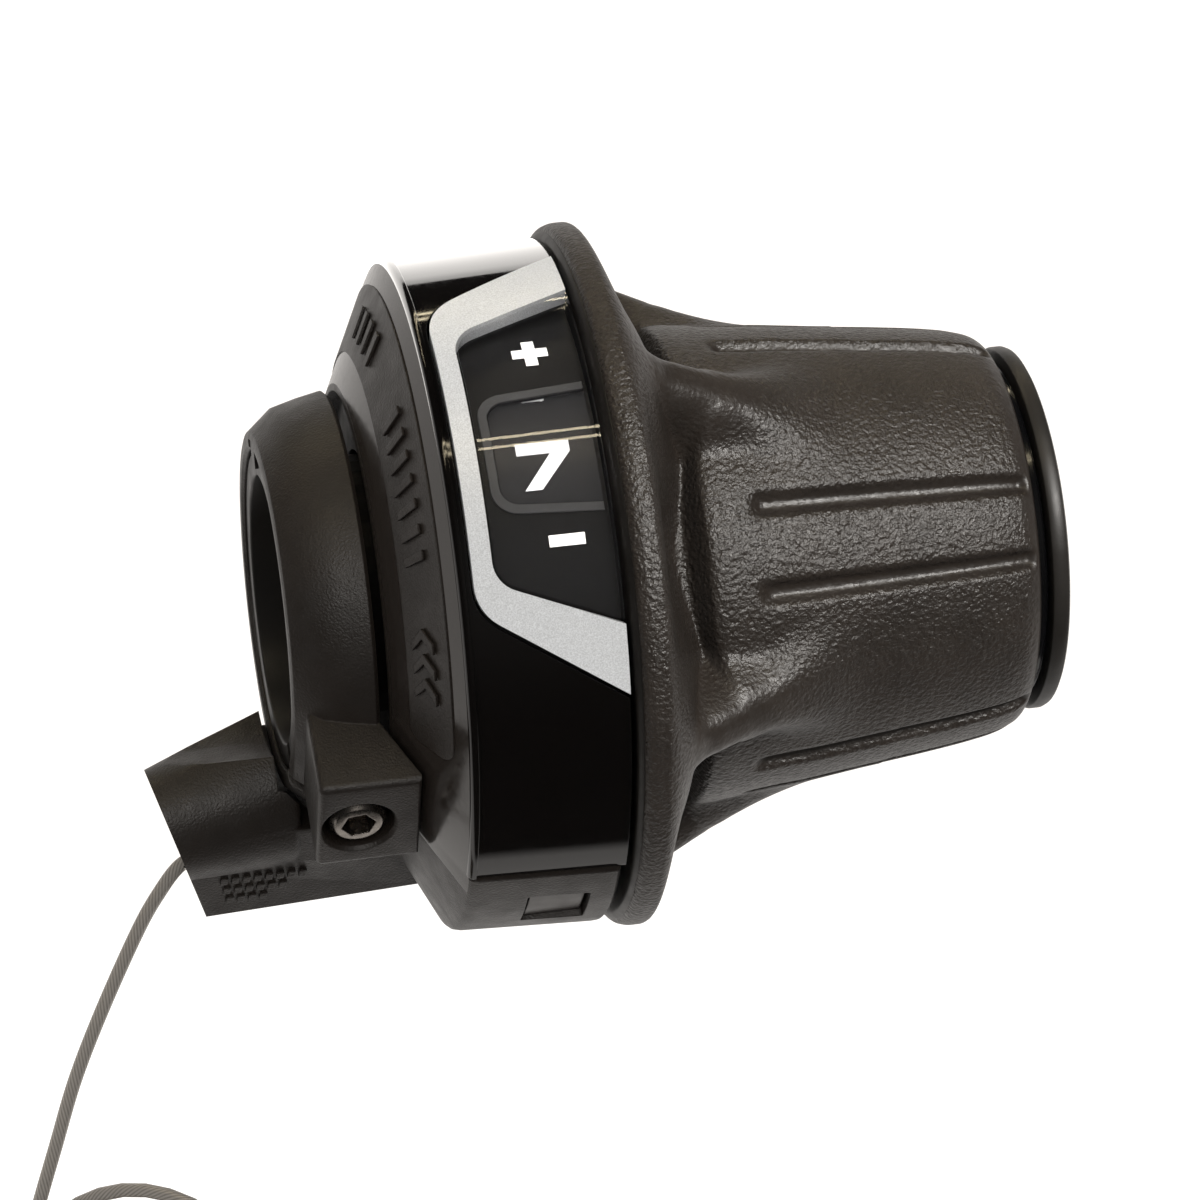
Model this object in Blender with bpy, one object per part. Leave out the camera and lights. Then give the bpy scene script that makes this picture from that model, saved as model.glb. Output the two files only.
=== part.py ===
"""Twist-grip shifter for a 22.2 mm handlebar, 7 speeds.

Frame: +X runs along the handlebar from the clamp to the free end of the grip,
+Z is up and -Y faces the rider's side with the indicator window.  The origin is
the centre of the handlebar bore at the clamp's outer face.  Lengths in the
tables below are millimetres and angles are degrees; MM turns them into metres.
An angle is counted from the -Y side upwards, so 0 faces the window side and 90
is the top of the part.
"""
import math

import bmesh
import bpy
from mathutils import Matrix, Vector

MM = 0.001

# ---- driving dimensions -------------------------------------------------
BAR_BORE_R = 11.2          # bore on a 22.2 mm bar
SLEEVE_R = 12.1            # outside of the fixed inner sleeve
CLAMP_LEN = 6.67           # clamp ring along the bar
LUG_ANGLE = -52.0          # direction of the clamp screw
CONE_X0, CONE_R0 = 7.5, 18.1
CONE_X1, CONE_R1 = 12.3, 27.9
WALL_X1 = 24.7             # right end of the housing wall
COVER_X0, COVER_X1 = 12.5, 25.1
COVER_LOW, COVER_HIGH = -56.6, 124.6
COVER_R_IN = 26.8
COVER_SCREW_X, SCREW_ANGLE = (16.6, 21.6), 118.0
FLANGE_X0 = 25.55          # left face of the grip's flange
GRIP_END = 62.1            # right end of the rubber
DISC_X0, DISC_X1, DISC_R = 63.2, 64.8, 15.4
GEAR_MODULE = 0.9714       # pitch circles 13.6 / 3.886 / 21.37
SUN_TEETH, PLANET_TEETH, RING_TEETH = 28, 8, 44
GEAR_X0, GEAR_X1 = 20.4, 23.6
TOOTH_HALF = 0.42          # tip and root measured from the pitch circle
TOOTH_WIDTH = 1.12         # at the pitch circle, leaves about 0.4 backlash
CLICKS, CLICK_ANGLE = 7, 17.5
GROOVE_R = 14.64           # the cable's centre lies 0.9 above it
CABLE_R = 0.6
WINDOW_ANGLE = 20.0        # where the shown number stands
GAP = 0.3                  # between pieces that touch on the real part

LENS_MM_PER_DEG = 28.4 * math.pi / 180.0


# ---- small helpers ------------------------------------------------------
def clear_scene():
    for ob in list(bpy.data.objects):
        bpy.data.objects.remove(ob, do_unlink=True)


def around(x, r, deg):
    """Point at x along the bar, radius r, angle deg, in metres."""
    a = math.radians(deg)
    return Vector((x * MM, -r * math.cos(a) * MM, r * math.sin(a) * MM))


def material(name, colour, roughness, metallic=0.0):
    mat = bpy.data.materials.new(name)
    mat.use_nodes = True
    bsdf = mat.node_tree.nodes["Principled BSDF"]
    bsdf.inputs["Base Color"].default_value = (colour[0], colour[1], colour[2], 1.0)
    bsdf.inputs["Roughness"].default_value = roughness
    bsdf.inputs["Metallic"].default_value = metallic
    mat.diffuse_color = (colour[0], colour[1], colour[2], 1.0)
    return mat


def finish(bm, name, look, smooth_angle=32.0):
    """Turn a bmesh into a named object with its own material."""
    bmesh.ops.remove_doubles(bm, verts=bm.verts, dist=1e-7)
    bmesh.ops.recalc_face_normals(bm, faces=bm.faces)
    mesh = bpy.data.meshes.new(name)
    bm.to_mesh(mesh)
    bm.free()
    ob = bpy.data.objects.new(name, mesh)
    bpy.context.scene.collection.objects.link(ob)
    mesh.materials.append(material(name, *look))
    mesh.shade_smooth()
    mesh.set_sharp_from_angle(angle=math.radians(smooth_angle))
    return ob


def lathe(section, segs=48, start=None, stop=None, warp=None):
    """Turn a closed (x, r) section about the bar's axis.

    Without start and stop it is a full ring; with them it is a capped sector.
    warp(x, r, deg) may move a section point as the angle changes.
    """
    bm = bmesh.new()
    full = start is None
    count = segs if full else segs + 1
    rows = []
    for i in range(count):
        deg = 360.0 * i / segs if full else start + (stop - start) * i / segs
        row = []
        for x, r in section:
            if warp:
                x, r = warp(x, r, deg)
            row.append(bm.verts.new(around(x, r, deg)))
        rows.append(row)
    n = len(section)
    spans = count if full else count - 1
    for i in range(spans):
        a = rows[i]
        b = rows[(i + 1) % count]
        for j in range(n):
            k = (j + 1) % n
            bm.faces.new((a[j], a[k], b[k], b[j]))
    if not full:
        bm.faces.new(rows[0])
        bm.faces.new(list(reversed(rows[-1])))
    bmesh.ops.recalc_face_normals(bm, faces=bm.faces)
    return bm


def prism(outline_a, outline_b):
    """Solid between two matching closed loops of points in metres."""
    bm = bmesh.new()
    low = [bm.verts.new(p) for p in outline_a]
    high = [bm.verts.new(p) for p in outline_b]
    bm.faces.new(low)
    bm.faces.new(list(reversed(high)))
    n = len(low)
    for i in range(n):
        j = (i + 1) % n
        bm.faces.new((low[i], high[i], high[j], low[j]))
    bmesh.ops.recalc_face_normals(bm, faces=bm.faces)
    return bm


def split_faces(bm):
    """Cut every face into triangles, for solids whose sides are not flat."""
    bmesh.ops.triangulate(bm, faces=list(bm.faces))
    return bm


def rod(centre_a, centre_b, radius_a, radius_b=None, sides=16, turn=0.0):
    """Round bar or cone between two centres in metres, radii in mm."""
    radius_b = radius_a if radius_b is None else radius_b
    axis = (centre_b - centre_a).normalized()
    side = axis.orthogonal().normalized()
    other = axis.cross(side)
    loops = []
    for centre, radius in ((centre_a, radius_a), (centre_b, radius_b)):
        loop = []
        for i in range(sides):
            a = 2.0 * math.pi * (i + turn) / sides
            loop.append(centre + (side * math.cos(a) + other * math.sin(a)) * radius * MM)
        loops.append(loop)
    return prism(*loops)


def sweep(points, radius, sides=10):
    """Round bar along a list of points in metres."""
    bm = bmesh.new()
    tangents = []
    last = len(points) - 1
    for i in range(len(points)):
        ahead = points[min(i + 1, last)]
        behind = points[max(i - 1, 0)]
        tangents.append((ahead - behind).normalized())
    side = tangents[0].orthogonal().normalized()
    loops = []
    for point, tangent in zip(points, tangents):
        side = (side - tangent * side.dot(tangent)).normalized()
        other = tangent.cross(side)
        loop = []
        for i in range(sides):
            a = 2.0 * math.pi * i / sides
            offset = side * math.cos(a) + other * math.sin(a)
            loop.append(bm.verts.new(point + offset * radius * MM))
        loops.append(loop)
    for a, b in zip(loops[:-1], loops[1:]):
        for i in range(sides):
            j = (i + 1) % sides
            bm.faces.new((a[i], a[j], b[j], b[i]))
    bm.faces.new(loops[0])
    bm.faces.new(list(reversed(loops[-1])))
    bmesh.ops.recalc_face_normals(bm, faces=bm.faces)
    return bm


def spline(knots, steps):
    """Catmull-Rom curve through knots given in mm, as points in metres."""
    pts = [Vector(k) for k in knots]
    pts = [pts[0] * 2 - pts[1]] + pts + [pts[-1] * 2 - pts[-2]]
    out = []
    for i in range(1, len(pts) - 2):
        a, b, c, d = pts[i - 1:i + 3]
        for s in range(steps):
            t = s / steps
            p = (b * 2 + (c - a) * t + (a * 2 - b * 5 + c * 4 - d) * t * t
                 + (b * 3 - a - c * 3 + d) * t * t * t) * 0.5
            out.append(p * MM)
    out.append(pts[-2] * MM)
    return out


def rounded(corners, radii, steps=4):
    """Closed outline whose corners are rounded by the given radii."""
    out = []
    n = len(corners)
    for i in range(n):
        here = Vector(corners[i])
        back = Vector(corners[i - 1]) - here
        ahead = Vector(corners[(i + 1) % n]) - here
        if radii[i] <= 0:
            out.append(tuple(here))
            continue
        half = back.angle(ahead) / 2.0
        reach = radii[i] / math.tan(half)
        centre_way = (back.normalized() + ahead.normalized()).normalized()
        centre = here + centre_way * (radii[i] / math.sin(half))
        p = here + back.normalized() * reach - centre
        q = here + ahead.normalized() * reach - centre
        sweep_angle = p.angle_signed(q)
        for s in range(steps + 1):
            turn = Matrix.Rotation(-sweep_angle * s / steps, 2)
            out.append(tuple(centre + turn @ p))
    return out


def curved_plate(outline, r_in, r_out, step=6.0):
    """Plate bent round the bar.  outline holds (x, degrees) pairs and r_out
    may be a function of x."""
    bm = bmesh.new()
    face = bm.faces.new([bm.verts.new((x, a, 0.0)) for x, a in outline])
    low = min(a for _, a in outline)
    high = max(a for _, a in outline)
    k = math.ceil(low / step + 0.02)
    while k * step < high - 0.02 * step:
        geom = list(bm.verts) + list(bm.edges) + list(bm.faces)
        bmesh.ops.bisect_plane(bm, geom=geom, dist=1e-5, plane_co=(0, k * step, 0),
                               plane_no=(0, 1, 0))
        k += 1
    res = bmesh.ops.extrude_face_region(bm, geom=list(bm.faces))
    for v in res["geom"]:
        if isinstance(v, bmesh.types.BMVert):
            v.co.z = 1.0
    outer = r_out if callable(r_out) else (lambda x: r_out)
    for v in bm.verts:
        r = r_in if v.co.z < 0.5 else outer(v.co.x)
        v.co = around(v.co.x, r, v.co.y)
    bmesh.ops.triangulate(bm, faces=list(bm.faces))
    bmesh.ops.recalc_face_normals(bm, faces=bm.faces)
    return bm


def tool(bm, name="cutter"):
    """Wire object used only to cut or to add to another one."""
    mesh = bpy.data.meshes.new(name)
    bm.to_mesh(mesh)
    bm.free()
    ob = bpy.data.objects.new(name, mesh)
    bpy.context.scene.collection.objects.link(ob)
    ob.hide_render = True
    ob.display_type = "WIRE"
    return ob


def combine(ob, bm, operation):
    """Apply one exact Boolean to ob with the solid in bm."""
    other = tool(bm)
    mod = ob.modifiers.new("Shape", "BOOLEAN")
    mod.operation = operation
    mod.object = other
    mod.solver = "EXACT"
    depsgraph = bpy.context.evaluated_depsgraph_get()
    result = bpy.data.meshes.new_from_object(ob.evaluated_get(depsgraph))
    ob.modifiers.clear()
    old = ob.data
    ob.data = result
    bpy.data.meshes.remove(old)
    bpy.data.objects.remove(other, do_unlink=True)


def cut(ob, bm):
    combine(ob, bm, "DIFFERENCE")


def add(ob, bm):
    combine(ob, bm, "UNION")


def tidy(ob, smooth_angle=32.0, dist=2e-6):
    """Clean the mesh a Boolean left and shade it again."""
    bm = bmesh.new()
    bm.from_mesh(ob.data)
    bmesh.ops.remove_doubles(bm, verts=bm.verts, dist=dist)
    bmesh.ops.dissolve_degenerate(bm, edges=bm.edges, dist=dist)
    bmesh.ops.triangulate(bm, faces=[f for f in bm.faces if len(f.verts) > 4])
    bm.to_mesh(ob.data)
    bm.free()
    ob.data.shade_smooth()
    ob.data.set_sharp_from_angle(angle=math.radians(smooth_angle))


def box(low, high):
    """Axis-aligned box, corners in mm."""
    x0, y0, z0 = low
    x1, y1, z1 = high
    ring = [(y0, z0), (y1, z0), (y1, z1), (y0, z1)]
    a = [Vector((x0, y, z)) * MM for y, z in ring]
    b = [Vector((x1, y, z)) * MM for y, z in ring]
    return prism(a, b)


def gear_outline(teeth, pitch_r, outward=True, phase=0.0):
    """(angle in degrees, radius) points of a stub-tooth wheel or ring."""
    out = []
    tip = pitch_r + TOOTH_HALF if outward else pitch_r - TOOTH_HALF
    root = pitch_r - 0.6 if outward else pitch_r + 0.6
    half = math.degrees(TOOTH_WIDTH / pitch_r) / 2.0
    for i in range(teeth):
        centre = 360.0 * (i + phase) / teeth
        out.append((centre - half * 1.35, root))
        out.append((centre - half * 0.62, tip))
        out.append((centre + half * 0.62, tip))
        out.append((centre + half * 1.35, root))
    return out


# ---- looks: colour, roughness, metallic ---------------------------------
MATTE = ((0.040, 0.033, 0.030), 0.55)
MATTE_DARK = ((0.030, 0.027, 0.025), 0.5)
GLOSS = ((0.008, 0.008, 0.009), 0.08)
RUBBER = ((0.042, 0.036, 0.032), 0.62)
SILVER = ((0.72, 0.72, 0.70), 0.32, 0.55)
CLEAR = ((0.10, 0.11, 0.13), 0.04)
MASK = ((0.009, 0.009, 0.010), 0.3)
NYLON = ((0.62, 0.61, 0.57), 0.45)
STEEL = ((0.46, 0.44, 0.42), 0.3, 1.0)
DARK_STEEL = ((0.16, 0.15, 0.14), 0.32, 1.0)


# ---- clamp at the inboard end -------------------------------------------
def build_clamp_ring():
    section = [(0.0, 13.4), (0.0, 14.74), (2.2, 16.6), (CLAMP_LEN, 17.6), (CLAMP_LEN, 13.4)]
    ob = finish(lathe(section, 56), "clamp_ring", MATTE)
    out, across = lug_directions()
    low = [(0.9, 5.0), (0.9, -5.2), (5.6, -5.2), (5.7, 5.0)]
    high = [(0.7, 5.0), (0.7, -5.2), (9.4, -5.2), (9.35, 5.0)]
    a = [Vector((x * MM, 0, 0)) + across * t * MM + out * 14.6 * MM for x, t in low]
    b = [Vector((x * MM, 0, 0)) + across * t * MM + out * 22.9 * MM for x, t in high]
    lug = prism(a, b)
    outer_edges = [e for e in lug.edges if all(v.co.dot(out) > 0.020 for v in e.verts)]
    side_edges = [e for e in lug.edges if all(v.co.x < 0.0012 for v in e.verts)]
    bmesh.ops.bevel(lug, geom=list(set(outer_edges + side_edges)), offset=0.0006, segments=2,
                    profile=0.6, affect="EDGES")
    add(ob, lug)
    start = screw_point(19.6)
    cut(ob, rod(start, screw_point(24.0), 2.95, sides=24))
    cut(ob, rod(screw_point(12.0), screw_point(20.2), 2.75, sides=20))
    cut(ob, lathe([(1.0, 12.9), (1.0, 14.7), (6.0, 14.7), (6.0, 12.9)], 6, -65.0, -39.0))
    cut(ob, lathe([(-1.0, 12.0), (-1.0, 20.0), (8.0, 20.0), (8.0, 12.0)], 2, -78.5, -70.0))
    cut(ob, lathe([(-0.5, 12.5), (-0.5, 16.0), (1.5, 16.0), (1.5, 12.5)], 3, 72.0, 88.0))
    tidy(ob)
    return ob


def lug_directions():
    a = math.radians(LUG_ANGLE)
    out = Vector((0.0, -math.cos(a), math.sin(a)))
    across = Vector((0.0, math.sin(a), math.cos(a)))
    return out, across


def screw_point(distance):
    """Point on the clamp screw's axis at a distance from the bar's axis."""
    out, across = lug_directions()
    return Vector((4.1 * MM, 0, 0)) - across * 0.4 * MM + out * distance * MM


def build_clamp_screw():
    ob = finish(rod(screw_point(14.95), screw_point(22.8), 2.35, sides=24), "clamp_screw",
                DARK_STEEL)
    cut(ob, rod(screw_point(20.4), screw_point(24.0), 1.44, sides=6))
    tidy(ob)
    return ob


def build_pressure_shoe():
    section = [(1.4, 13.4), (1.4, 14.4), (5.6, 14.4), (5.6, 13.4)]
    return finish(lathe(section, 6, -62.5, -41.5), "pressure_shoe", STEEL)


def build_bar_collar():
    section = [(0.35, BAR_BORE_R), (0.35, 13.1), (6.6, 13.1), (6.6, BAR_BORE_R)]
    ob = finish(lathe(section, 48, -74.0, 278.0), "bar_collar", MATTE_DARK)
    add(ob, lathe([(-0.35, 12.0), (-0.35, 14.6), (1.15, 14.6), (1.15, 12.0)], 3, 74.5, 85.5))
    tidy(ob)
    return ob


# ---- housing and cover --------------------------------------------------
OUTLET_NORMAL = Vector((-0.955, 0.072, -0.285)).normalized()
OUTLET_POINT = Vector((-11.0, 4.6, -12.5))
CABLE_EXIT = Vector((-8.3, 9.0, -20.4))


def inner_cable_path():
    knots = [around(16.0, GROOVE_R + 0.9, -135.0) / MM, Vector((16.0, 7.6, -14.4))]
    knots += [Vector((15.7, 5.2, -16.9)), Vector((13.8, 4.6, -19.0))]
    knots += [Vector((9.5, 5.8, -19.8)), Vector((4.5, 6.6, -19.8))]
    knots += [Vector((0.0, 7.4, -19.9)), Vector((-4.2, 8.2, -20.1)), CABLE_EXIT]
    return knots


def build_housing():
    section = [(8.6, 12.5), (8.6, 17.2), (7.4, 17.5), (CONE_X0, CONE_R0), (CONE_X1, CONE_R1)]
    section += [(13.1, 28.25), (23.9, 28.75), (WALL_X1, 28.4), (WALL_X1, 27.2)]
    section += [(14.0, 26.9), (13.2, 26.2), (9.9, 18.8), (9.9, 12.5)]
    ob = finish(lathe(section, 48), "main_housing", MATTE)
    sector = [(CONE_X1, 26.5), (CONE_X1, 31.0), (26.0, 31.0), (26.0, 26.5)]
    cut(ob, lathe(sector, 30, COVER_LOW - 0.6, COVER_HIGH + 0.6))
    add(ob, outlet_boss())
    add(ob, under_plate())
    cut(ob, ring_clearance())
    cut(ob, outlet_face_cutter())
    way_out = inner_cable_path()[2:] + [CABLE_EXIT + Vector((-4, 1.0, -0.6))]
    cut(ob, sweep(spline(way_out, 2), 1.0, 8))
    cut(ob, lathe([(9.95, 11.0), (9.95, 18.7), (13.25, 26.1), (26.0, 26.1), (26.0, 11.0)], 48))
    window = [(16.4, -61.5), (22.6, -61.5), (22.6, -77.0), (16.4, -77.0)]
    cut(ob, curved_plate(window, 26.0, 31.0))
    for angle in (-160.0, -104.0):
        add(ob, rod(around(10.4, 23.3, angle), around(15.75, 23.3, angle), 1.2, sides=8))
    add(ob, lathe([(14.5, 26.15), (14.5, 26.5), (23.5, 26.5), (23.5, 26.15)], 3, 111.0, 126.5))
    add(ob, lathe([(14.5, 26.15), (14.5, 27.6), (23.5, 27.6), (23.5, 26.15)], 1, 125.6, 129.5))
    for x in COVER_SCREW_X:
        hole = rod(around(x, 25.0, SCREW_ANGLE), around(x, 27.0, SCREW_ANGLE), 1.3, sides=10)
        cut(ob, hole)
    tidy(ob)
    return ob


def outlet_boss():
    """Tapered half-round block round the cable's way out."""
    loops = []
    for x, y, z, r in ((-14.5, 3.8, -17.6, 4.2), (1.2, 7.5, -14.5, 7.1)):
        loop = []
        for i in range(20):
            a = 2.0 * math.pi * i / 20
            loop.append(Vector((x, y - r * math.cos(a), z + r * math.sin(a))) * MM)
        loops.append(loop)
    bm = prism(*loops)
    rim = [e for e in bm.edges if all(v.co.x > 0.001 for v in e.verts)]
    bmesh.ops.bevel(bm, geom=rim, offset=0.0005, segments=2, affect="EDGES")
    return bm


def under_plate():
    """Flat-bottomed plate that carries the boss and runs into the housing."""
    left = [(1.5, -18.5), (10.6, -25.45), (15.5, -24.6), (17.0, -15.0), (9.0, -12.5)]
    right = [(1.5, -18.5), (9.4, -24.4), (15.5, -23.6), (17.0, -15.0), (9.0, -12.5)]
    a = [Vector((-14.5, y, z)) * MM for y, z in left]
    b = [Vector((12.8, y, z)) * MM for y, z in right]
    return split_faces(prism(a, b))


def ring_clearance():
    section = [(-20.0, 4.0), (-20.0, 12.2), (-0.6, 12.2), (-0.6, 15.0), (0.0, 15.2), (2.1, 17.35)]
    section += [(7.1, 18.45), (7.1, 17.0), (8.6, 17.0), (8.6, 4.0)]
    return lathe(section, 56)


def outlet_face_cutter():
    n = OUTLET_NORMAL
    u = n.orthogonal().normalized()
    v = n.cross(u)
    a = []
    b = []
    for su, sv in ((-1, -1), (1, -1), (1, 1), (-1, 1)):
        corner = OUTLET_POINT + u * su * 40 + v * sv * 40
        a.append(corner * MM)
        b.append((corner + n * 30) * MM)
    return prism(a, b)


def lens_outline(corners, radii, steps=4):
    """Outline given as (x, arc mm at the lens) turned into (x, degrees)."""
    return [(x, s / LENS_MM_PER_DEG) for x, s in rounded(corners, radii, steps)]


def bezel_outer(grow=0.0):
    top = 25.7 + grow * 1.15
    low = -2.23 - grow * 1.2
    left = 13.45 - grow
    edge = COVER_X1
    return [(left, low), (edge, low - 0.67 * (edge - left)), (edge, top + 0.578 * (edge - left)),
            (left, top)]


def bezel_inner(shrink=0.0):
    top = 22.35 - shrink * 1.1
    low = -0.1 + shrink * 1.1
    left = 15.08 + shrink
    edge = COVER_X1
    return [(left, low), (edge, low - 0.42 * (edge - left)), (edge, top + 0.40 * (edge - left)),
            (left, top)]


def cover_surface(x):
    return 28.12 + 0.04 * (x - COVER_X0)


def build_cover():
    bite = lens_outline(bezel_outer(0.28), (4.2, 0, 0, 5.2))
    n = 4 + 1
    lower_left = bite[:n]
    lower_right = bite[n]
    upper_right = bite[n + 1]
    upper_left = bite[n + 2:]
    outline = [(COVER_X1, lower_right[1])] + list(reversed(lower_left))
    outline += list(reversed(upper_left)) + [(COVER_X1, upper_right[1])]
    outline += [(COVER_X1, COVER_HIGH), (COVER_X0, COVER_HIGH)]
    outline += [(COVER_X0, COVER_LOW), (COVER_X1, COVER_LOW)]
    ob = finish(curved_plate(outline, COVER_R_IN, cover_surface), "front_cover", GLOSS, 25.0)
    for x in COVER_SCREW_X:
        low = around(x, 26.0, SCREW_ANGLE)
        high = around(x, 30.0, SCREW_ANGLE)
        cut(ob, rod(low, high, 1.3, sides=10))
        cut(ob, rod(around(x, 27.3, SCREW_ANGLE), high, 2.2, sides=14))
    tidy(ob, 25.0)
    return ob


def build_bezel():
    outer = lens_outline(bezel_outer(), (4.0, 0, 0, 5.0))
    inner = lens_outline(bezel_inner(), (2.6, 0, 0, 3.0))
    n = 5
    outline = [outer[n + 1]] + outer[n + 2:] + outer[:n] + [outer[n]]
    outline += [inner[n]] + list(reversed(inner[:n])) + list(reversed(inner[n + 2:]))
    outline += [inner[n + 1]]
    return finish(curved_plate(outline, COVER_R_IN, lambda x: cover_surface(x) + 0.12),
                  "indicator_bezel", SILVER, 25.0)


def build_lens():
    outline = lens_outline(bezel_inner(GAP), (2.3, 0, 0, 2.7))
    return finish(curved_plate(outline, 27.3, lambda x: cover_surface(x) + 0.05, 3.0),
                  "indicator_lens", CLEAR, 25.0)


def aperture(shrink=0.0):
    left = 16.7 + shrink
    return [(left, 5.75 + shrink), (COVER_X1 - 0.3, 5.2 + shrink),
            (COVER_X1 - 0.3, 16.55 - shrink), (left, 15.75 - shrink)]


def build_dial_mask():
    gate = lens_outline(aperture(), (1.6, 0, 0, 1.6))
    n = 5
    x1 = COVER_X1 - 0.3
    outline = [(x1, gate[n][1])] + list(reversed(gate[:n])) + list(reversed(gate[n + 2:]))
    outline += [(x1, gate[n + 1][1]), (x1, 70.0), (13.9, 70.0), (13.9, -24.0), (x1, -24.0)]
    return finish(curved_plate(outline, 26.1, 26.5), "dial_mask", MASK, 25.0)


def build_number_pane():
    outline = lens_outline(aperture(GAP), (1.3, 0, 0, 1.3))
    return finish(curved_plate(outline, 26.2, 26.5, 3.0), "number_pane", CLEAR, 25.0)


def build_cover_latch():
    outline = [(16.8, -62.4), (22.2, -62.4), (22.2, -76.0), (16.8, -76.0)]
    return finish(curved_plate(outline, 27.3, 28.3), "cover_latch", MATTE_DARK, 25.0)


def build_cover_screws():
    out = []
    for i, x in enumerate(COVER_SCREW_X):
        low = around(x, 26.2, SCREW_ANGLE)
        middle = around(x, 27.65, SCREW_ANGLE)
        high = around(x, 28.2, SCREW_ANGLE)
        ob = finish(rod(middle, high, 1.8, sides=14), "cover_screw_%d" % (i + 1), STEEL)
        add(ob, rod(low, around(x, 27.8, SCREW_ANGLE), 0.95, sides=10))
        cut(ob, rod(around(x, 27.9, SCREW_ANGLE), around(x, 29.0, SCREW_ANGLE), 0.8, sides=6))
        tidy(ob)
        out.append(ob)
    return out


def build_detent_spring():
    ends = []
    for angle, x in ((-164, 16.1), (-150, 16.1), (-138, 16.4), (-132, 17.05), (-126, 16.4),
                     (-114, 16.1), (-100, 16.1)):
        ends.append((angle, x))
    bm = bmesh.new()
    rows = []
    for angle, x in ends:
        corners = ((x, 22.5), (x, 24.0), (x + 0.35, 24.0), (x + 0.35, 22.5))
        rows.append([bm.verts.new(around(cx, r, angle)) for cx, r in corners])
    for a, b in zip(rows[:-1], rows[1:]):
        for j in range(4):
            k = (j + 1) % 4
            bm.faces.new((a[j], a[k], b[k], b[j]))
    bm.faces.new(rows[0])
    bm.faces.new(list(reversed(rows[-1])))
    bmesh.ops.triangulate(bm, faces=list(bm.faces))
    return finish(bm, "detent_spring", STEEL)


# ---- sleeve, sun gear and end disc --------------------------------------
def build_sleeve():
    section = [(6.95, BAR_BORE_R + 0.05), (6.95, SLEEVE_R), (62.85, SLEEVE_R),
               (62.85, BAR_BORE_R + 0.05)]
    return finish(lathe(section, 36), "inner_sleeve", MATTE_DARK)


def build_sun_gear():
    outline = gear_outline(SUN_TEETH, GEAR_MODULE * SUN_TEETH / 2, phase=0.5)
    return finish(toothed(outline, SLEEVE_R + GAP, GEAR_X0, GEAR_X1), "sun_gear", NYLON)


def toothed(outline, plain_r, x0, x1):
    """Ring with a toothed edge on one side and a plain circle on the other."""
    bm = bmesh.new()
    edge = [(x0, True), (x1, True), (x1, False), (x0, False)]
    rows = []
    for angle, r in outline:
        rows.append([bm.verts.new(around(x, r if tooth else plain_r, angle)) for x, tooth in edge])
    n = len(rows)
    for i in range(n):
        a = rows[i]
        b = rows[(i + 1) % n]
        for j in range(4):
            k = (j + 1) % 4
            bm.faces.new((a[j], a[k], b[k], b[j]))
    bmesh.ops.recalc_face_normals(bm, faces=bm.faces)
    return bm


def build_end_disc():
    section = [(DISC_X0, BAR_BORE_R + 0.1), (DISC_X0, 14.9), (DISC_X0 + 0.25, DISC_R - 0.1)]
    section += [(DISC_X0 + 0.6, DISC_R), (DISC_X1 - 0.6, DISC_R), (DISC_X1 - 0.2, DISC_R - 0.25)]
    section += [(DISC_X1, 14.6), (DISC_X1, BAR_BORE_R + 0.1)]
    return finish(lathe(section, 48), "end_disc", MATTE_DARK)


def build_thrust_washer():
    section = [(62.1, SLEEVE_R + GAP), (62.1, 14.2), (62.9, 14.2), (62.9, SLEEVE_R + GAP)]
    return finish(lathe(section, 36), "thrust_washer", GLOSS)


# ---- pieces that turn with the grip -------------------------------------
def build_grip_core():
    section = [(20.4, 23.1), (20.4, 23.9), (FLANGE_X0, 23.9), (FLANGE_X0, 28.3), (25.85, 28.75)]
    section += [(26.6, 28.95), (26.6, 24.3), (27.1, 24.0), (30.2, 16.8), (32.0, 15.3), (61.8, 15.3)]
    section += [(61.8, SLEEVE_R + GAP), (24.1, SLEEVE_R + GAP), (24.1, 23.1)]
    return finish(lathe(section, 45), "grip_core", MATTE_DARK)


def build_ring_gear():
    outline = gear_outline(RING_TEETH, GEAR_MODULE * RING_TEETH / 2, outward=False, phase=0.5)
    return finish(toothed(outline, 22.8, GEAR_X0 - 0.1, GEAR_X1 + 0.1), "ring_gear", NYLON)


def line(table, x):
    """Value at x on a broken line of (x, value) points."""
    if x <= table[0][0]:
        return table[0][1]
    for (x0, y0), (x1, y1) in zip(table[:-1], table[1:]):
        if x <= x1:
            t = (x - x0) / (x1 - x0)
            return y0 + (y1 - y0) * t
    return table[-1][1]


FLANGE_SHAPE = [(26.9, 29.15), (27.4, 29.5), (28.3, 29.35), (29.3, 28.65), (30.1, 27.7),
                (30.8, 26.3), (31.3, 24.9), (31.9, 23.0), (32.7, 20.4), (33.4, 19.0), (35.0, 16.5)]
BODY_SHAPE = [(32.0, 18.6), (33.4, 18.9), (35.0, 19.6), (37.0, 19.75), (40.5, 19.5),
              (43.0, 19.3), (46.0, 18.95), (50.0, 18.5), (54.0, 18.05), (58.0, 17.5),
              (60.2, 17.05), (61.2, 16.6), (61.8, 16.1), (62.1, 15.75)]
WEB_SHAPE = [(31.0, 26.4), (31.9, 25.7), (33.4, 24.9), (34.5, 24.3), (36.2, 23.4), (38.0, 22.5),
             (40.0, 21.6), (42.5, 20.6), (45.0, 19.7), (48.0, 18.8)]
WEB_ANGLE, WEB_PITCH = 37.0, 72.0


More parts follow.
